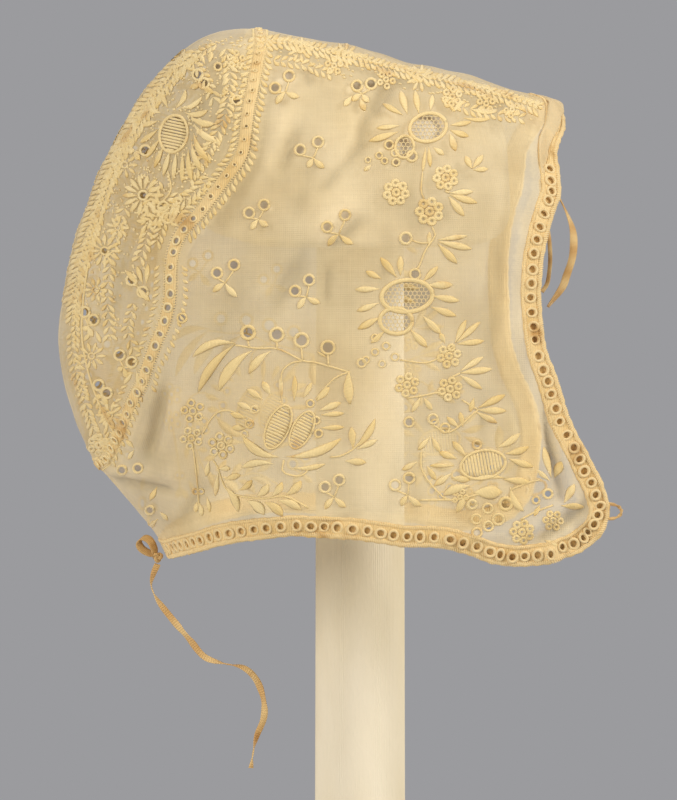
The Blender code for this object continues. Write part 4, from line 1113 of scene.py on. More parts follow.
def drawWork():
    bag = newBag()
    holes = []
    for row in leafRows:
        addLeaf(bag, *row)
    for ax, ay, bx, by, cx, cy, dx, dy in sprigRows:
        join = np.array(((ax + bx) / 2 * 0.35 + (cx + dx) / 2 * 0.65,
                         (ay + by) / 2 * 0.45 + (cy + dy) / 2 * 0.55))
        for x, y in ((ax, ay), (bx, by)):
            addRing(bag, x, y, work["sprigHole"], work["sprigRing"])
            holes.append(ellipse(x, y, 4.0, 4.0, 0, 12))
            addStrip(bag, np.linspace((x, y + 5), join, 4), work["sprigStem"], 0.2, 0.3)
        for x, y in ((cx, cy), (dx, dy)):
            addLeaf(bag, join[0], join[1], x, y, work["sprigLeaf"], 0.05)
    for x, y, hole, outer in ringRows:
        addRing(bag, x, y, hole, outer)
        holes.append(ellipse(x, y, hole + 0.1, hole + 0.1, 0, 12))
    for x, y, radius, count, share in clusterRows:
        for k in range(count):
            turn = k / (count - 1) * math.tau + x
            away = 0.0 if k == 0 else radius * 0.66
            small = radius * 0.33
            place = (x + math.cos(turn) * away, y + math.sin(turn) * away)
            addRing(bag, *place, small * share, small, work["loopHeight"])
            if share > 0.4:
                holes.append(ellipse(*place, small * share, small * share, 0, 8))
    for x, y, inner, outer, petals, pierced in daisyRows:
        for k in range(petals):
            turn = math.radians(360 * (k / petals))
            c, s = math.cos(turn), math.sin(turn)
            width = max(4, outer * work["petalShare"])
            addLeaf(bag, x + c * inner, y + s * inner, x + c * outer, y + s * outer, width)
        addRing(bag, x, y, inner * 0.55, inner * 0.95)
        if pierced:
            holes.append(ellipse(x, y, inner * 0.58, inner * 0.58, 0, 12))
    for x, y, halfA, halfD, tilt, border, darned in lobeRows:
        loop = ellipse(x, y, halfA, halfD, tilt, 30)
        holes.append(loop)
        rim = ellipse(x, y, halfA + border / 2, halfD + border / 2, tilt, 36)
        addStrip(bag, rim, border / 2, work["rimHeight"], 0.35, closed=True)
        if darned:
            addDarning(bag, loop, tilt + (0 if halfD > halfA else 90))
        else:
            addNet(bag, loop)
    for row in stemRows:
        steps = int(sum(math.dist(a, b) for a, b in zip(row, row[1:])) / 4)
        path = smoothPath(row, max(4, steps))[0]
        addStrip(bag, path, work["stemWidth"] / 2, work["stemHeight"], 0.35)
    for row in borderRows:
        addBorder(bag, *row)
    holes.append(np.array(slitOutline))
    return bag, holes


bag, pixelHoles = drawWork()
workFlat = flatOf(np.concatenate(bag["pixels"]))
holeFlat = flatOf(np.concatenate(pixelHoles))
holeEnds = np.cumsum([len(h) for h in pixelHoles])[:-1]
print("whitework drawn:", len(bag["faces"]), "faces,", len(pixelHoles), "openings")


def makeWork(side, name):
    flat = workFlat if side < 0 else toLeft(workFlat)
    points = surfaceAt(toChart(flat), side, np.concatenate(bag["lift"]) + work["clear"])[0]
    uv, toneAndShade = np.concatenate(bag["uv"]), np.concatenate(bag["toneAndShade"])
    return newPiece(name, points, bag["faces"], thread, uv, toneAndShade)


whitework = [makeWork(-1, "whitework_right"), makeWork(1, "whitework_left")]
print("whitework laid on both sides")

# muslin panels, cut with the same openings
muslinCut = {
    "spacing": 0.00110, "rim": 0.0012, "keepFrom": 0.003, "weave": 0.2,
    "fullLift": 0.0022,         # a ridge this high gets the full painted highlight, a hollow this deep the full painted shade
    "crumpleShade": (0.0005, 0.013), "fineCrumpleShade": (0.0003, 0.005),      # height, cell of small crumples that are only painted in as shade and highlight
    "hemReach": 0.014,
}


def panelLoops(side):
    r = runs[side]
    along = spaced(0, r["edgeLengths"][-1], muslinCut["rim"])
    inner = shifted(r["edge"], r["edgeLengths"], along, side, -cap["edging"] - cap["gap"])
    down = spaced(0, r["seamLengths"][-1], muslinCut["rim"])
    out = cap["insertion"] / 2 + cap["gap"]
    front = shifted(r["seam"], r["seamLengths"], down, side, out)
    back = shifted(r["seam"], r["seamLengths"], down, side, -out)
    under = ridgeRun(inner[-1], front[-1], muslinCut["rim"])
    over = ridgeRun(front[0], inner[0], muslinCut["rim"])
    crown = np.concatenate([back, ridgeRun(back[-1], back[0], muslinCut["rim"])])
    return np.concatenate([inner, under, front[::-1], over]), crown


def weldRidge(points, faces):
    # joins the two sides where they meet in the middle plane
    known, index = {}, np.arange(len(points))
    for k in np.flatnonzero(np.abs(points[:, 0]) < 1e-6):
        index[k] = known.setdefault(tuple(np.round(points[k], 5)), k)
    faces = index[faces]
    return faces[(faces[:, 0] != faces[:, 1]) & (faces[:, 1] != faces[:, 2]) & (faces[:, 0] != faces[:, 2])]


def clothPiece(name, node, halves):
    points, faces, uv, hem, toneAndShade, total = [], [], [], [], [], 0
    for side, loop, holes in halves:
        held = [h for h in holes if inside(h, loop).all()]
        clear = [h for h in held if not nearLoop(h, loop, muslinCut["keepFrom"]).any()]
        charts, triangles = triangulate(loop, clear, muslinCut["spacing"])
        at = surfaceAt(charts, side)[0]
        points.append(at)
        faces.append((triangles if side < 0 else triangles[:, ::-1]) + total)
        uv.append(charts * muslinCut["weave"])
        sides = np.full(len(charts), float(side))
        fwd, up = bare(charts, sides)[1:]
        # painted shade in the hollows of folds and small crumples, painted highlight on their ridges; the
        # same values make the cloth denser in the hollows
        lift = foldLift(fwd, up, sides)
        for (height, cell), shift in ((muslinCut["crumpleShade"], 2.0), (muslinCut["fineCrumpleShade"], 4.0)):
            lift = lift + height * softNoise(at, cell, shift)
        toneAndShade.append(np.clip(0.5 - lift / muslinCut["fullLift"], 0, 1))
        rim = np.zeros(len(charts))
        rim[nearLoop(charts, loop, muslinCut["hemReach"])] = 1.0
        hem.append(rim)
        total += len(charts)
    points, faces = np.concatenate(points), np.concatenate(faces)
    uv, hem, toneAndShade = np.concatenate(uv), np.concatenate(hem), np.concatenate(toneAndShade)
    used, compact = np.unique(weldRidge(points, faces), return_inverse=True)
    piece = newPiece(name, points[used], compact.reshape(-1, 3), muslin,
                     uv[used], toneAndShade[used], hem[used], closeUp=False)
    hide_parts(node)
    return piece


def holeCharts(side):
    flat = holeFlat if side < 0 else toLeft(holeFlat)
    return np.split(toChart(flat), holeEnds)


heads, crowns = [], []
for side in (-1, 1):
    headLoop, crownLoop = panelLoops(side)
    charts = holeCharts(side)
    heads.append((side, headLoop, charts))
    crowns.append((side, crownLoop, charts))
headMuslin = clothPiece("head_muslin", "head_panel", heads)
crownMuslin = clothPiece("crown_muslin", "crown_panel", crowns)


def areaOf(piece):
    return sum(face.area for face in piece.data.polygons)


print("muslin areas", round(areaOf(headMuslin), 4), round(areaOf(crownMuslin), 4))

# pierced trims
trim = {
    "pitch": 0.0039, "hole": 0.00098, "ringRadius": 0.00142, "ringCord": 0.00046,
    "ringPlace": 0.55,          # share of the band's width, from its cut edge
    "thick": 0.0005, "spacing": 0.0009, "lap": 0.0007,
    "hemHalf": 0.0008, "hemHeight": 0.00052,
    "stitchPitch": 0.00062, "stitchLong": 0.00098, "stitchWide": 0.00029,
    "stitchSeat": 0.62,         # share of the hem's height
    "edgeInset": 0.0003, "backInset": 0.0008,
    "backThick": 0.00024, "backDrop": 0.00068,
    "ringWide": (0.80, 1.06), "ringHigh": (0.90, 1.10),
    "jitter": 0.00025, "wander": 0.00018,
    "bunch": {"reach": 0.024, "squeeze": 0.28, "wander": 0.0003, "tilt": 0.22, "rise": 0.0004},
    "hiddenTo": {-1: 38, 1: 30},        # points of the front run that lie under the roll
}


def closedBand(name, node, halves, material, thick, lift=0.0):
    # a thin closed band over regions of both sides
    outer, inner, faces, total = [], [], [], 0
    for side, loop, holes in halves:
        charts, triangles = triangulate(loop, holes, trim["spacing"])
        outer.append(surfaceAt(charts, side, lift + thick / 2)[0])
        inner.append(surfaceAt(charts, side, lift - thick / 2)[0])
        faces.append((triangles if side < 0 else triangles[:, ::-1]) + total)
        total += len(charts)
    outer, inner, faces = np.concatenate(outer), np.concatenate(inner), np.concatenate(faces)
    faces = weldRidge(outer, faces)
    edges = np.concatenate([faces[:, [0, 1]], faces[:, [1, 2]], faces[:, [2, 0]]])
    seen = {tuple(e) for e in edges.tolist()}
    rims = [(x, y) for x, y in seen if (y, x) not in seen]
    every = faces.tolist() + (faces[:, ::-1] + total).tolist()
    every += [(x, x + total, y + total, y) for x, y in sorted(rims)]
    points = np.concatenate([outer, inner])
    used, compact = np.unique(np.concatenate([np.ravel(f) for f in every]), return_inverse=True)
    sizes = np.cumsum([len(f) for f in every])[:-1]
    uv = np.stack([points[used, 1] * 1000, points[used, 2] * 1000], axis=-1)
    toneAndShade = np.clip(0.5 + 0.5 * softNoise(points[used], 0.006, 5.0), 0, 1)
    piece = newPiece(name, points[used], np.split(compact, sizes), material, uv, toneAndShade)
    if node:
        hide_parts(node)
    return piece


def cordAlong(run, lengths, at, side, offset, half, tall, waves=0.0):
    # points of a rolled hem that follows an edge at an offset
    across = np.array([-1, -0.7, 0, 0.7, 1, 0.7, 0, -0.7]) * half
    rise = np.array([0, 0.75, 1, 0.75, 0, -0.75, -1, -0.75]) * tall
    offsets = offset + waves * (np.sin(at * 1900) + 0.6 * np.sin(at * 730 + 1))
    rings = []
    for a, h in zip(across, rise):
        rings.append(surfaceAt(shifted(run, lengths, at, side, offsets + a), side, h)[0])
    return np.stack(rings, axis=1)


def pointCloud(places, out, along, size):
    mesh = bpy.data.meshes.new("cloud")
    mesh.from_pydata(np.asarray(places).tolist(), [], [])
    size = np.asarray(size, float)
    size = size if size.ndim == 2 else np.repeat(size[:, None], 3, axis=1)
    for label, values in (("out", out), ("along", along), ("size", size)):
        layer = mesh.attributes.new(label, "FLOAT_VECTOR", "POINT")
        layer.data.foreach_set("vector", np.asarray(values, np.float32).ravel())
    cloud = bpy.data.objects.new("cloud", mesh)
    bpy.context.scene.collection.objects.link(cloud)
    return cloud


def startTree(name, inputs):
    tree = bpy.data.node_groups.new(name, "GeometryNodeTree")
    tree.interface.new_socket(name="Points", in_out="INPUT", socket_type="NodeSocketGeometry")
    for label, kind, value in inputs:
        socket = tree.interface.new_socket(name=label, in_out="INPUT", socket_type=kind)
        if value is not None:
            socket.default_value = value
    tree.interface.new_socket(name="Geometry", in_out="OUTPUT", socket_type="NodeSocketGeometry")
    return tree, tree.nodes.new("NodeGroupInput"), tree.nodes.new("NodeGroupOutput")


def named(tree, label, kind):
    node = tree.nodes.new("GeometryNodeInputNamedAttribute")
    node.data_type = kind
    node.inputs["Name"].default_value = label
    return node.outputs["Attribute"]


def turned(tree):
    # the piece's Z follows "out" and its X follows "along"
    first = tree.nodes.new("FunctionNodeAlignRotationToVector")
    first.axis = "Z"
    tree.links.new(named(tree, "out", "FLOAT_VECTOR"), first.inputs["Vector"])
    second = tree.nodes.new("FunctionNodeAlignRotationToVector")
    second.axis = "X"
    second.pivot_axis = "Z"
    tree.links.new(first.outputs["Rotation"], second.inputs["Rotation"])
    tree.links.new(named(tree, "along", "FLOAT_VECTOR"), second.inputs["Vector"])
    return second.outputs["Rotation"]


def placeOnPoints(tree, source, shape, output):
    instance = tree.nodes.new("GeometryNodeInstanceOnPoints")
    realize = tree.nodes.new("GeometryNodeRealizeInstances")
    finish = tree.nodes.new("GeometryNodeSetMaterial")
    smooth = tree.nodes.new("GeometryNodeSetShadeSmooth")
    tree.links.new(source.outputs["Points"], instance.inputs["Points"])
    tree.links.new(shape, instance.inputs["Instance"])
    tree.links.new(turned(tree), instance.inputs["Rotation"])
    tree.links.new(named(tree, "size", "FLOAT_VECTOR"), instance.inputs["Scale"])
    tree.links.new(instance.outputs["Instances"], realize.inputs["Geometry"])
    tree.links.new(realize.outputs["Geometry"], smooth.inputs["Geometry"])
    tree.links.new(smooth.outputs["Geometry"], finish.inputs["Geometry"])
    tree.links.new(source.outputs["Material"], finish.inputs["Material"])
    tree.links.new(finish.outputs["Geometry"], output.inputs["Geometry"])


def ringTree():
    tree, source, output = startTree("eyeletRings", [
        ("Ring radius", "NodeSocketFloat", trim["ringRadius"]),
        ("Cord radius", "NodeSocketFloat", trim["ringCord"]),
        ("Segments", "NodeSocketInt", 14),
        ("Sides", "NodeSocketInt", 6),
        ("Material", "NodeSocketMaterial", None)])
    circle = tree.nodes.new("GeometryNodeCurvePrimitiveCircle")
    profile = tree.nodes.new("GeometryNodeCurvePrimitiveCircle")
    sweep = tree.nodes.new("GeometryNodeCurveToMesh")
    tree.links.new(source.outputs["Segments"], circle.inputs["Resolution"])
    tree.links.new(source.outputs["Ring radius"], circle.inputs["Radius"])
    tree.links.new(source.outputs["Sides"], profile.inputs["Resolution"])
    tree.links.new(source.outputs["Cord radius"], profile.inputs["Radius"])
    tree.links.new(circle.outputs["Curve"], sweep.inputs["Curve"])
    tree.links.new(profile.outputs["Curve"], sweep.inputs["Profile Curve"])
    placeOnPoints(tree, source, sweep.outputs["Mesh"], output)
    return tree


def stitchTree():
    tree, source, output = startTree("overcastStitches", [
        ("Half length", "NodeSocketFloat", trim["stitchLong"]),
        ("Half width", "NodeSocketFloat", trim["stitchWide"]),
        ("Half height", "NodeSocketFloat", trim["stitchWide"]),
        ("Slant", "NodeSocketFloat", 0.45),
        ("Material", "NodeSocketMaterial", None)])
    ball = tree.nodes.new("GeometryNodeMeshUVSphere")
    ball.inputs["Segments"].default_value = 6
    ball.inputs["Rings"].default_value = 4
    ball.inputs["Radius"].default_value = 1.0
    size = tree.nodes.new("ShaderNodeCombineXYZ")
    tree.links.new(source.outputs["Half width"], size.inputs["X"])
    tree.links.new(source.outputs["Half length"], size.inputs["Y"])
    tree.links.new(source.outputs["Half height"], size.inputs["Z"])
    lean = tree.nodes.new("ShaderNodeCombineXYZ")
    tree.links.new(source.outputs["Slant"], lean.inputs["Z"])
    shape = tree.nodes.new("GeometryNodeTransform")
    tree.links.new(ball.outputs["Mesh"], shape.inputs["Geometry"])
    tree.links.new(size.outputs[0], shape.inputs["Scale"])
    slanted = tree.nodes.new("GeometryNodeTransform")
    tree.links.new(shape.outputs["Geometry"], slanted.inputs["Geometry"])
    tree.links.new(lean.outputs[0], slanted.inputs["Rotation"])
    placeOnPoints(tree, source, slanted.outputs["Geometry"], output)
    return tree


def fromNodes(name, parts, tree, material, sizes=None):
    values = {"Material": material, **(sizes or {})}
    cloud = pointCloud(*gather(parts))
    modifier = cloud.modifiers.new("nodes", "NODES")
    modifier.node_group = tree
    for item in tree.interface.items_tree:
        if item.in_out == "INPUT" and item.name in values:
            modifier[item.identifier] = values[item.name]
    graph = bpy.context.evaluated_depsgraph_get()
    mesh = bpy.data.meshes.new_from_object(cloud.evaluated_get(graph))
    mesh.name = name
    piece = bpy.data.objects.new(name, mesh)
    bpy.context.scene.collection.objects.link(piece)
    bpy.data.objects.remove(cloud, do_unlink=True)
    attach(piece, "root")
    return piece


rings = ringTree()
stitches = stitchTree()

knots = {
    "sizes": {"Half length": 0.00062, "Half width": 0.00040, "Half height": 0.00034},
    "clear": 0.0001,            # metres off the cloth
}
# fields of seed knots: across and down from, across and down to, how many
knotFields = ((60, 30, 260, 240, 1500), (60, 240, 190, 470, 420), (240, 30, 560, 130, 900))
knotOutlines = (
    ((205, 40), (245, 36), (252, 60), (236, 130), (210, 175), (170, 225), (150, 250), (96, 250),
     (84, 240), (104, 172), (134, 117), (163, 80)),
    ((84, 240), (150, 250), (150, 300), (120, 340), (96, 360), (84, 420), (110, 462), (98, 460),
     (70, 380), (66, 310)),
    ((262, 38), (300, 42), (400, 66), (500, 90), (544, 106), (530, 122), (470, 106), (400, 88),
     (330, 76), (262, 62)),
)


def knotWork():
    # seed knots scattered between the leaves, thickest on the crown
    chance = np.random.default_rng(31)
    parts = []
    for side in (-1, 1):
        pixels = []
        for x0, y0, x1, y1, count in knotFields:
            pixels.append(np.stack([chance.uniform(x0, x1, count), chance.uniform(y0, y1, count)], axis=-1))
        pixels = np.concatenate(pixels)
        kept = np.zeros(len(pixels), bool)
        for outline in knotOutlines:
            kept |= inside(pixels, np.array(outline, float))
        pixels = pixels[kept]
        pixels = pixels[~insideSome(pixels, pixelHoles)]
        flat = flatOf(pixels)
        charts = toChart(flat if side < 0 else toLeft(flat))
        places, out = surfaceAt(charts, side, knots["clear"])
        parts.append((places, out, np.cross(out, (0.2, 0.5, 0.8)), chance.uniform(0.55, 1.0, len(places))))
    return fromNodes("seed_knots", parts, stitches, thread, knots["sizes"])




def framesOn(run, lengths, at, side, offset, lift=0.0):
    # places, outward directions and headings on an offset of a curve
    charts = shifted(run, lengths, at, side, offset)
    places, out = surfaceAt(charts, side, lift)
    reach = 0.0006
    later, earlier = np.minimum(at + reach, lengths[-1]), np.maximum(at - reach, 0)
    ahead = surfaceAt(shifted(run, lengths, later, side, offset), side, lift)[0]
    behind = surfaceAt(shifted(run, lengths, earlier, side, offset), side, lift)[0]
    along = ahead - behind
    return places, out, along / np.linalg.norm(along, axis=1)[:, None]


def gather(parts):
    return [np.concatenate(column) for column in zip(*parts)]


def eyeletHoles(run, lengths, middles, side, place, hole, wide, high, corners=14):
    centres = shifted(run, lengths, middles, side, place)
    one, square = frameAt(centres, headingAt(run, lengths, middles), side)
    turns = np.arange(corners) / corners * math.tau
    holes = []
    for c, o, q, w, h in zip(centres, one * hole, square * hole, wide, high):
        holes.append(c + np.cos(turns)[:, None] * o * w + np.sin(turns)[:, None] * q * h)
    return holes


def edgingPieces(front):
    label = "front" if front else "neck"
    chance = np.random.default_rng(21 if front else 22)
    bunch = trim["bunch"]       # the trim is bunched up round the lower corner
    halves, backs, hemRings, hemFaces, ringParts, stitchParts = [], [], [], [], [], []
    total = 0
    for side in (-1, 1):
        r = runs[side]
        run, lengths = r["edge"], r["edgeLengths"]
        start, end = (0.0, r["corner"] + trim["lap"]) if front else (r["corner"] - trim["lap"], lengths[-1])
        at = spaced(start, end, trim["spacing"])
        outer = shifted(run, lengths, at, side, -trim["edgeInset"])
        inner = shifted(run, lengths, at, side, -cap["edging"])
        middles = spaced(start, end, trim["pitch"])
        middles = (middles[1:] + middles[:-1]) / 2
        hidden = lengths[trim["hiddenTo"][side]] if front else 0.0
        middles = middles[middles > hidden]
        count = len(middles)
        bunched = np.exp(-(((middles - r["corner"]) / bunch["reach"]) ** 2))
        middles = middles + chance.uniform(-1, 1, count) * trim["jitter"]
        wander = trim["wander"] + bunch["wander"] * bunched
        place = -cap["edging"] * trim["ringPlace"] + chance.uniform(-1, 1, count) * wander
        wide = chance.uniform(*trim["ringWide"], count)
        wide = wide * (1 - bunch["squeeze"] * bunched * chance.uniform(0, 1, count))
        high = chance.uniform(*trim["ringHigh"], count)
        holes = eyeletHoles(run, lengths, middles, side, place, trim["hole"], wide, high)
        halves.append((side, np.concatenate([outer, inner[::-1]]), holes))
        rim = shifted(run, lengths, at, side, -trim["backInset"])
        backs.append((side, np.concatenate([rim, inner[::-1]]), []))
        places, out, along = framesOn(run, lengths, middles, side, place)
        size = np.stack([wide, high, np.ones(count)], axis=-1)
        tilted = out + bunch["tilt"] * bunched[:, None] * chance.uniform(-1, 1, (count, 3))
        tilted /= np.linalg.norm(tilted, axis=1)[:, None]
        rise = trim["thick"] * 0.5 + bunch["rise"] * bunched[:, None]
        ringParts.append((places + out * rise, tilted, along, size))
        ringParts.append((places - out * trim["thick"] * 0.5, -out, along, size))
        for offset, waves in ((-trim["hemHalf"], 0.00016), (-cap["edging"] + 0.0002, 0.00008)):
            share = 1.0 if offset > -0.002 else 0.72
            half, tall = trim["hemHalf"] * share, trim["hemHeight"] * share
            tube = cordAlong(run, lengths, at, side, offset, half, tall, waves)
            hemFaces += tubeFaces(len(at), 8, total, side > 0) + endFaces(len(at), 8, total)
            hemRings.append(tube.reshape(-1, 3))
            total += len(at) * 8
            spots = spaced(start, end, trim["stitchPitch"])[1:-1]
            places, out, along = framesOn(run, lengths, spots, side, offset)
            size = share * (1 + 0.2 * softNoise(places, 0.002, 1.0))
            seat = out * trim["hemHeight"] * trim["stitchSeat"] * share
            stitchParts.append((places + seat, out, along, size))
            stitchParts.append((places - seat, -out, along, size))
    band = closedBand(label + "_edging_band", label + "_edging", halves, trimThread, trim["thick"])
    back = closedBand(label + "_edging_backing", "", backs, backing, trim["backThick"], -trim["backDrop"])
    points = np.concatenate(hemRings)
    toneAndShade = np.clip(0.6 + 0.5 * softNoise(points, 0.005, 8.0), 0, 1)
    uv = np.stack([points[:, 1] * 900, points[:, 2] * 900], axis=-1)
    hem = newPiece(label + "_edging_hem", points, hemFaces, trimThread, uv, toneAndShade)
    ringPiece = fromNodes(label + "_edging_rings", ringParts, rings, trimThread)
    stitchPiece = fromNodes(label + "_edging_stitches", stitchParts, stitches, trimThread)
    return [band, back, hem, ringPiece, stitchPiece]


# the muslin rolled over the top of the front trim, in millimetres along shares of its run
rollLook = {
    "endsAt": {-1: 41, 1: 33},          # points of the front run
    "spacing": 0.0005, "crumple": 0.0004,
    "half": ((0, 0.34, 0.48, 0.86, 1), (2.9, 2.8, 2.2, 1.8, 0.5)),
    "middle": ((0, 0.34, 0.48, 0.86, 1), (-2.6, -2.7, -3.9, -4.4, -5.5)),
    "tall": ((0, 0.12, 0.3, 0.86, 1), (0.2, 0.5, 1.0, 0.8, 0.2)),
}


def frontRoll():
    sections = []
    turns = np.arange(14) / 14 * math.tau
    for side in (-1, 1):
        run, lengths = runs[side]["edge"], runs[side]["edgeLengths"]
        end = lengths[rollLook["endsAt"][side]]
        at = spaced(0, end, rollLook["spacing"])
        t = at / end
        half, middle, tall = (np.interp(t, *rollLook[key]) / 1000 for key in ("half", "middle", "tall"))
        columns = []
        for turn in turns:
            offset = middle + half * math.cos(turn)
            lift = tall * (0.6 + math.sin(turn) * (1.0 if turn < math.pi else 0.35))
            chart = shifted(run, lengths, at, side, offset)
            place = surfaceAt(chart, side, lift)[0]
            lift = lift + rollLook["crumple"] * softNoise(place, 0.004, 6.0)
            columns.append(surfaceAt(chart, side, lift)[0])
        rows = np.stack(columns, axis=1)
        sections.append(rows[::-1] if side < 0 else rows[1:])
    points = np.concatenate(sections)
    count = len(points)
    faces = tubeFaces(count, len(turns)) + endFaces(count, len(turns))
    points = points.reshape(-1, 3)
    uv = np.stack([points[:, 1], points[:, 2]], axis=-1)
    toneAndShade, hem = np.full(len(points), 0.5), np.full(len(points), 0.6)
    return newPiece("front_roll", points, faces, muslin, uv, toneAndShade, hem)


seedKnots = knotWork()
frontTrim = edgingPieces(True)
neckTrim = edgingPieces(False)
roll = frontRoll()
print("edgings made:", [len(o.data.polygons) for o in frontTrim + neckTrim])

seamLook = {
    "pitch": 0.0038, "hole": 0.00082, "ringRadius": 0.00120, "ringCord": 0.00036,
    "thick": 0.0004, "rise": 0.0003, "jitter": 0.0003, "wander": 0.00025, "tilt": 0.16,
    "ringWide": (0.70, 1.06), "ringHigh": (0.72, 1.04),
    "bend": (50, 75), "closed": 0.50,   # above the bend the rings are small and nearly closed
    "stitchPitch": 1.2, "stitchSize": 0.8,      # of the trim's
}


def seamPieces():
    halves, ringParts, stitchParts = [], [], []
    chance = np.random.default_rng(23)
    for side in (-1, 1):
        r = runs[side]
        run, lengths = r["seam"], r["seamLengths"]
        at = spaced(0, lengths[-1], trim["spacing"])
        half = cap["insertion"] / 2
        front = shifted(run, lengths, at, side, half)
        back = shifted(run, lengths, at, side, -half)
        middles = spaced(0, lengths[-1], seamLook["pitch"])
        middles = (middles[1:] + middles[:-1]) / 2
        count = len(middles)
        middles = middles + chance.uniform(-1, 1, count) * seamLook["jitter"]
        place = chance.uniform(-1, 1, count) * seamLook["wander"]
        openShare = np.interp(middles, [lengths[k] for k in seamLook["bend"]], (seamLook["closed"], 1.0))
        wide = chance.uniform(*seamLook["ringWide"], count) * openShare
        high = chance.uniform(*seamLook["ringHigh"], count) * openShare
        holes = eyeletHoles(run, lengths, middles, side, place, seamLook["hole"], wide, high, 12)
        halves.append((side, np.concatenate([front, back[::-1]]), holes))
        places, out, along = framesOn(run, lengths, middles, side, place)
        size = np.stack([wide, high, np.ones(count)], axis=-1)
        tilted = out + seamLook["tilt"] * chance.uniform(-1, 1, (count, 3))
        tilted /= np.linalg.norm(tilted, axis=1)[:, None]
        ringParts.append((places + out * seamLook["rise"], tilted, along, size))
        for offset in (-half, half):
            spots = spaced(0, lengths[-1], trim["stitchPitch"] * seamLook["stitchPitch"])[1:-1]
            places, out, along = framesOn(run, lengths, spots, side, offset)
            stitchParts.append((places, out, along, np.full(len(spots), seamLook["stitchSize"])))
    band = closedBand("crown_insertion_band", "crown_insertion", halves, trimThread, seamLook["thick"])
    sizes = {"Ring radius": seamLook["ringRadius"], "Cord radius": seamLook["ringCord"]}
    ringPiece = fromNodes("crown_insertion_rings", ringParts, rings, thread, sizes)
    stitchPiece = fromNodes("crown_insertion_stitches", stitchParts, stitches, thread)
    return [band, ringPiece, stitchPiece]


seamTrim = seamPieces()
print("crown seam made:", [len(o.data.polygons) for o in seamTrim])

# knot and loops
knotLook = {
    "size": 0.0034, "cord": 0.00062,
    "loopLong": 0.0064, "loopWide": 0.0042, "loopFrom": 0.0009,
    "ribbon": 0.0026, "ribbonHalfThick": 0.00016, "lean": 47, "slant": 52,
}
loopLook = {"reach": 0.0036, "thread": 0.00040, "foot": 0.0008, "twist": 0.32,
            "high": 148, "low": 156}    # points of the front run where a loop is sewn on


def tubePiece(name, path, radius, sides=8, closed=False, twist=0.0):
    count = len(path)
    ahead = (np.roll(path, -1, 0) - np.roll(path, 1, 0)) if closed else np.gradient(path, axis=0)
    ahead /= np.linalg.norm(ahead, axis=1)[:, None]
    side = np.cross(ahead, (0.31, 0.47, 0.83))
    side /= np.linalg.norm(side, axis=1)[:, None]
    up = np.cross(side, ahead)
    turns = np.arange(sides) / sides * math.tau
    # a twisted thread has two lobes that wind along it
    lobes = 1 + (0.30 if twist else 0.0) * np.cos(2 * (turns[None] - twist * np.arange(count)[:, None]))
    spokes = side[:, None] * np.cos(turns)[None, :, None] + up[:, None] * np.sin(turns)[None, :, None]
    points = path[:, None] + radius * lobes[..., None] * spokes
    faces = tubeFaces(count, sides, closed=closed)
    if not closed:
        faces += endFaces(count, sides)
    run = np.repeat(np.arange(count) * 0.35, sides)
    uv = np.stack([run + np.tile(turns, count) * 0.3, np.tile(turns, count)], axis=-1)
    return newPiece(name, points.reshape(-1, 3), faces, tape, uv, np.full(count * sides, 0.5))


def napeKnot():
    low, high = (np.array(corner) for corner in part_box("nape_knot"))
    centre = (low + high) / 2
    t = np.linspace(0, math.tau, 72, endpoint=False)
    scale = (knotLook["size"] / 2 - knotLook["cord"]) / 3
    curve = (np.sin(3 * t) * 1.4, np.sin(t) + 2 * np.sin(2 * t), np.cos(t) - 2 * np.cos(2 * t))
    curve = np.stack(curve, axis=-1) * scale
    knot = tubePiece("nape_knot_tape", centre + curve, knotLook["cord"], closed=True)
    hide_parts("nape_knot")
    lean = math.radians(knotLook["lean"])
    axis = np.array((0.0, math.cos(lean), math.sin(lean)))
    square = np.array((0.0, -axis[2], axis[1]))
    s = np.linspace(0, 1, 48)
    turn = math.pi * (2 * s - 1)
    along = knotLook["loopLong"] * (1 + np.cos(turn)) / 2
    apart = np.sin(turn) * np.sqrt((1 + np.cos(turn)) / 2 + 0.02) * knotLook["loopWide"] / 2
    path = centre + axis * (along[:, None] + knotLook["loopFrom"]) + square * apart[:, None]
    slant = math.radians(knotLook["slant"])
    wide = viewAway * math.cos(slant) - square * math.sin(slant)
    ahead = np.gradient(path, axis=0)
    deep = np.cross(ahead, wide)
    deep /= np.linalg.norm(deep, axis=1)[:, None]
    across = np.array([-1, -0.4, 0.4, 1, 1, 0.4, -0.4, -1]) * knotLook["ribbon"] / 2
    rise = np.array([1, 1, 1, 1, -1, -1, -1, -1]) * knotLook["ribbonHalfThick"]
    taper = np.interp(s, (0, 0.12, 0.88, 1), (0.45, 1, 1, 0.45))
    points = path[:, None] + wide * (across[None] * taper[:, None])[..., None]
    points = points + deep[:, None] * rise[None, :, None]
    faces = tubeFaces(48, 8) + endFaces(48, 8)
    uv = np.stack([np.repeat(s * 20, 8), np.tile(across * 900, 48)], axis=-1)
    loop = newPiece("nape_loop_tape", points.reshape(-1, 3), faces, tape, uv, np.full(48 * 8, 0.6))
    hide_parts("nape_loop")


napeKnot()


def cornerLoops():
    for side, node in ((-1, "corner_loop_right"), (1, "corner_loop_left")):
        run, lengths = runs[side]["edge"], runs[side]["edgeLengths"]
        sewn = lengths[[loopLook["high"], loopLook["low"]]]
        feet = shifted(run, lengths, sewn, side, -loopLook["foot"])
        high, low = surfaceAt(feet, side)[0]
        turn = np.linspace(0, math.pi, 40)
        reach = np.array((0.0, -1.0, -0.04)) * (loopLook["reach"] + loopLook["foot"])
        path = (high + low) / 2 + (high - low) / 2 * np.cos(turn)[:, None]
        path = path + reach * (np.sin(turn) ** 0.8)[:, None]
        loop = tubePiece(node + "_thread", path, loopLook["thread"], twist=loopLook["twist"])
        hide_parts(node)


cornerLoops()

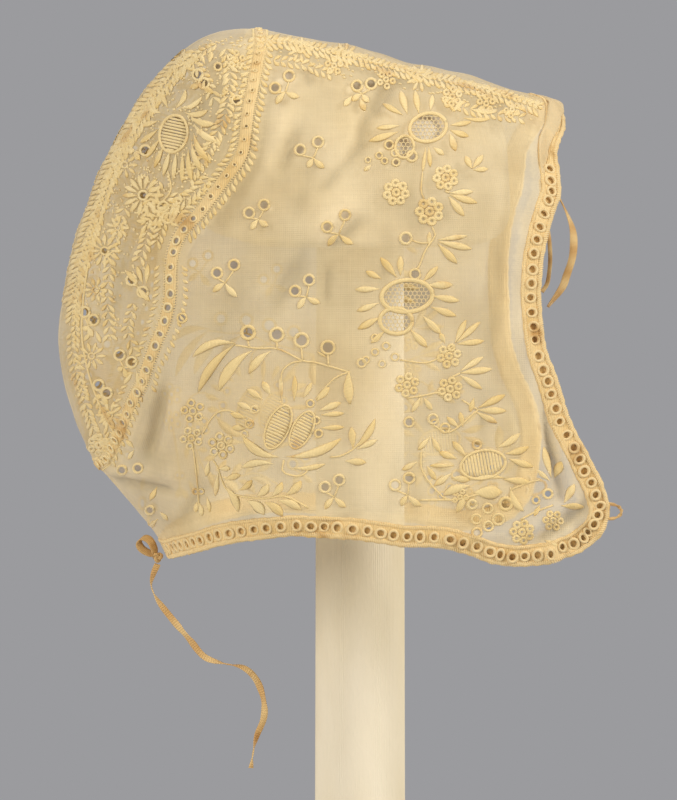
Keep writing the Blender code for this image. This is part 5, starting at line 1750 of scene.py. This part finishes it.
# stand
stand = {
    "post": 0.0252, "spread": 0.0006, "ribs": 140, "ribDepth": 0.00006,
    "foot": 0.110, "footThick": 0.012, "bevel": 0.002,
    "padGap": 0.0014, "padDrop": 0.062, "padFront": 0.040, "padBack": 0.046,
    "padEndPower": 6, "padEndShare": 0.55, "padHeart": 0.45,
    "padStations": 41, "padSteps": 65,
}


def padFloor():
    return cap["neck"] + (cap["rise"] + max(up for _, up in outlineRows)) * cap["height"] - stand["padDrop"]


def padPiece():
    stations, steps = stand["padStations"], stand["padSteps"]
    floor = padFloor()
    middle = cap["neck"] + cap["rise"] * cap["height"]
    centreY = (stand["padBack"] - stand["padFront"]) / 2
    reachY = (stand["padBack"] + stand["padFront"]) / 2
    sections = []
    for k in range(stations):
        turn = math.pi * k / (stations - 1)
        y = centreY - reachY * math.cos(turn)
        ends = math.sqrt(1 - math.cos(turn) ** stand["padEndPower"])
        fwd = -y / cap["depth"]
        ridgeUp = 0.5
        for again in range(30):
            ridgeUp = math.sqrt(max(float(reachOf(math.atan2(ridgeUp, fwd))) ** 2 - fwd**2, 0.01))
        lowUp = (floor - middle) / cap["height"]
        j = np.arange(steps)
        s = 1 - np.abs(2 * j / (steps - 1) - 1)
        side = np.where(j < steps / 2, -1.0, 1.0)
        up = lowUp + (ridgeUp - lowUp) * (3 * s - s**3) / 2
        flat = np.stack([np.full(steps, fwd), up], axis=-1)
        chart = toChart(flat, j == (steps - 1) // 2)
        at = surfaceAt(chart, side, -stand["padGap"] - cap["ripple"])[0]
        at[:, 1] = y
        heart = np.array((0.0, y, floor + stand["padDrop"] * stand["padHeart"]))
        at = heart + (at - heart) * (stand["padEndShare"] + (1 - stand["padEndShare"]) * ends)
        at[:, 2] = np.maximum(at[:, 2], floor)
        low = [at[-1] + (at[0] - at[-1]) * q for q in np.linspace(0, 1, 17)[1:-1]]
        sections.append(np.concatenate([at, np.array(low)]))
    columns = len(sections[0])
    faces = tubeFaces(stations, columns) + endFaces(stations, columns)
    piece = newPiece("pad_cover", np.concatenate(sections), faces, postCloth)
    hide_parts("stand_pad")


def turnedPiece(name, node, profile, columns, material, ribs=0):
    turns = np.arange(columns) / columns * math.tau
    points = []
    for radius, height in profile:
        size = radius + (stand["ribDepth"] * np.cos(turns * ribs) if ribs else 0)
        ring = (size * np.cos(turns), size * np.sin(turns), np.full(columns, height))
        points.append(np.stack(ring, axis=-1))
    faces = tubeFaces(len(profile), columns) + endFaces(len(profile), columns)
    piece = newPiece(name, np.concatenate(points), faces, material)
    piece.data.set_sharp_from_angle(angle=math.radians(50))
    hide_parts(node)


def standPieces():
    padPiece()
    low = stand["footThick"] + cap["gap"]
    high = padFloor() - cap["gap"]
    radius = stand["post"] / 2
    profile = [(radius + stand["spread"] * (1 - t), low + (high - low) * t) for t in np.linspace(0, 1, 24)]
    ribs = stand["ribs"]
    turnedPiece("post_cover", "stand_post", profile, ribs * 5, postCloth, ribs)
    edge, bevel, thick = stand["foot"] / 2, stand["bevel"], stand["footThick"]
    arc = np.linspace(0, math.pi / 2, 7)
    profile = [(edge - bevel + bevel * math.sin(a), bevel - bevel * math.cos(a)) for a in arc]
    profile += [(edge - bevel + bevel * math.cos(a), thick - bevel + bevel * math.sin(a)) for a in arc]
    turnedPiece("foot", "stand_base", profile, 120, footPaint)


standPieces()
print("stand made")

# floor, light and air
studio = {"floorRadius": 0.55, "floor": (214, 213, 210), "air": (155, 155, 158), "airStrength": 1.0,
          "key": 54.0, "keyPlace": (-1.06, -2.04, 1.5), "keySize": 0.8,
          "fill": 34.0, "fillPlace": (-1.48, 1.62, 1.0), "fillSize": 1.2,
          "top": 6.0, "topPlace": (0.3, 0.2, 1.9), "topSize": 1.0}


def addLight(name, place, power, size):
    light = bpy.data.lights.new(name, "AREA")
    light.energy = power
    light.size = size
    lamp = bpy.data.objects.new(name, light)
    bpy.context.scene.collection.objects.link(lamp)
    lamp.location = place
    lamp.rotation_euler = (Vector((0, 0, 0.2)) - Vector(place)).to_track_quat("-Z", "Y").to_euler()


def addStudio():
    mesh = bpy.data.meshes.new("floor")
    turns = np.arange(96) / 96 * math.tau
    ring = np.stack([np.cos(turns), np.sin(turns), np.zeros(96)], axis=-1) * studio["floorRadius"]
    mesh.from_pydata(ring.tolist(), [], [tuple(range(96))])
    floor = bpy.data.objects.new("floor", mesh)
    bpy.context.scene.collection.objects.link(floor)
    material, nodes, links, shader = newMaterial("paleFloor")
    shader.inputs["Base Color"].default_value = (*linear(*studio["floor"]), 1.0)
    shader.inputs["Roughness"].default_value = 0.8
    mesh.materials.append(material)
    world = bpy.data.worlds.new("studio")
    world.use_nodes = True
    back = world.node_tree.nodes["Background"]
    back.inputs["Color"].default_value = (*linear(*studio["air"]), 1.0)
    back.inputs["Strength"].default_value = studio["airStrength"]
    bpy.context.scene.world = world
    bpy.context.scene.view_settings.view_transform = "Standard"
    for key in ("key", "fill", "top"):
        addLight(key, studio[key + "Place"], studio[key], studio[key + "Size"])


addStudio()
print("studio set")
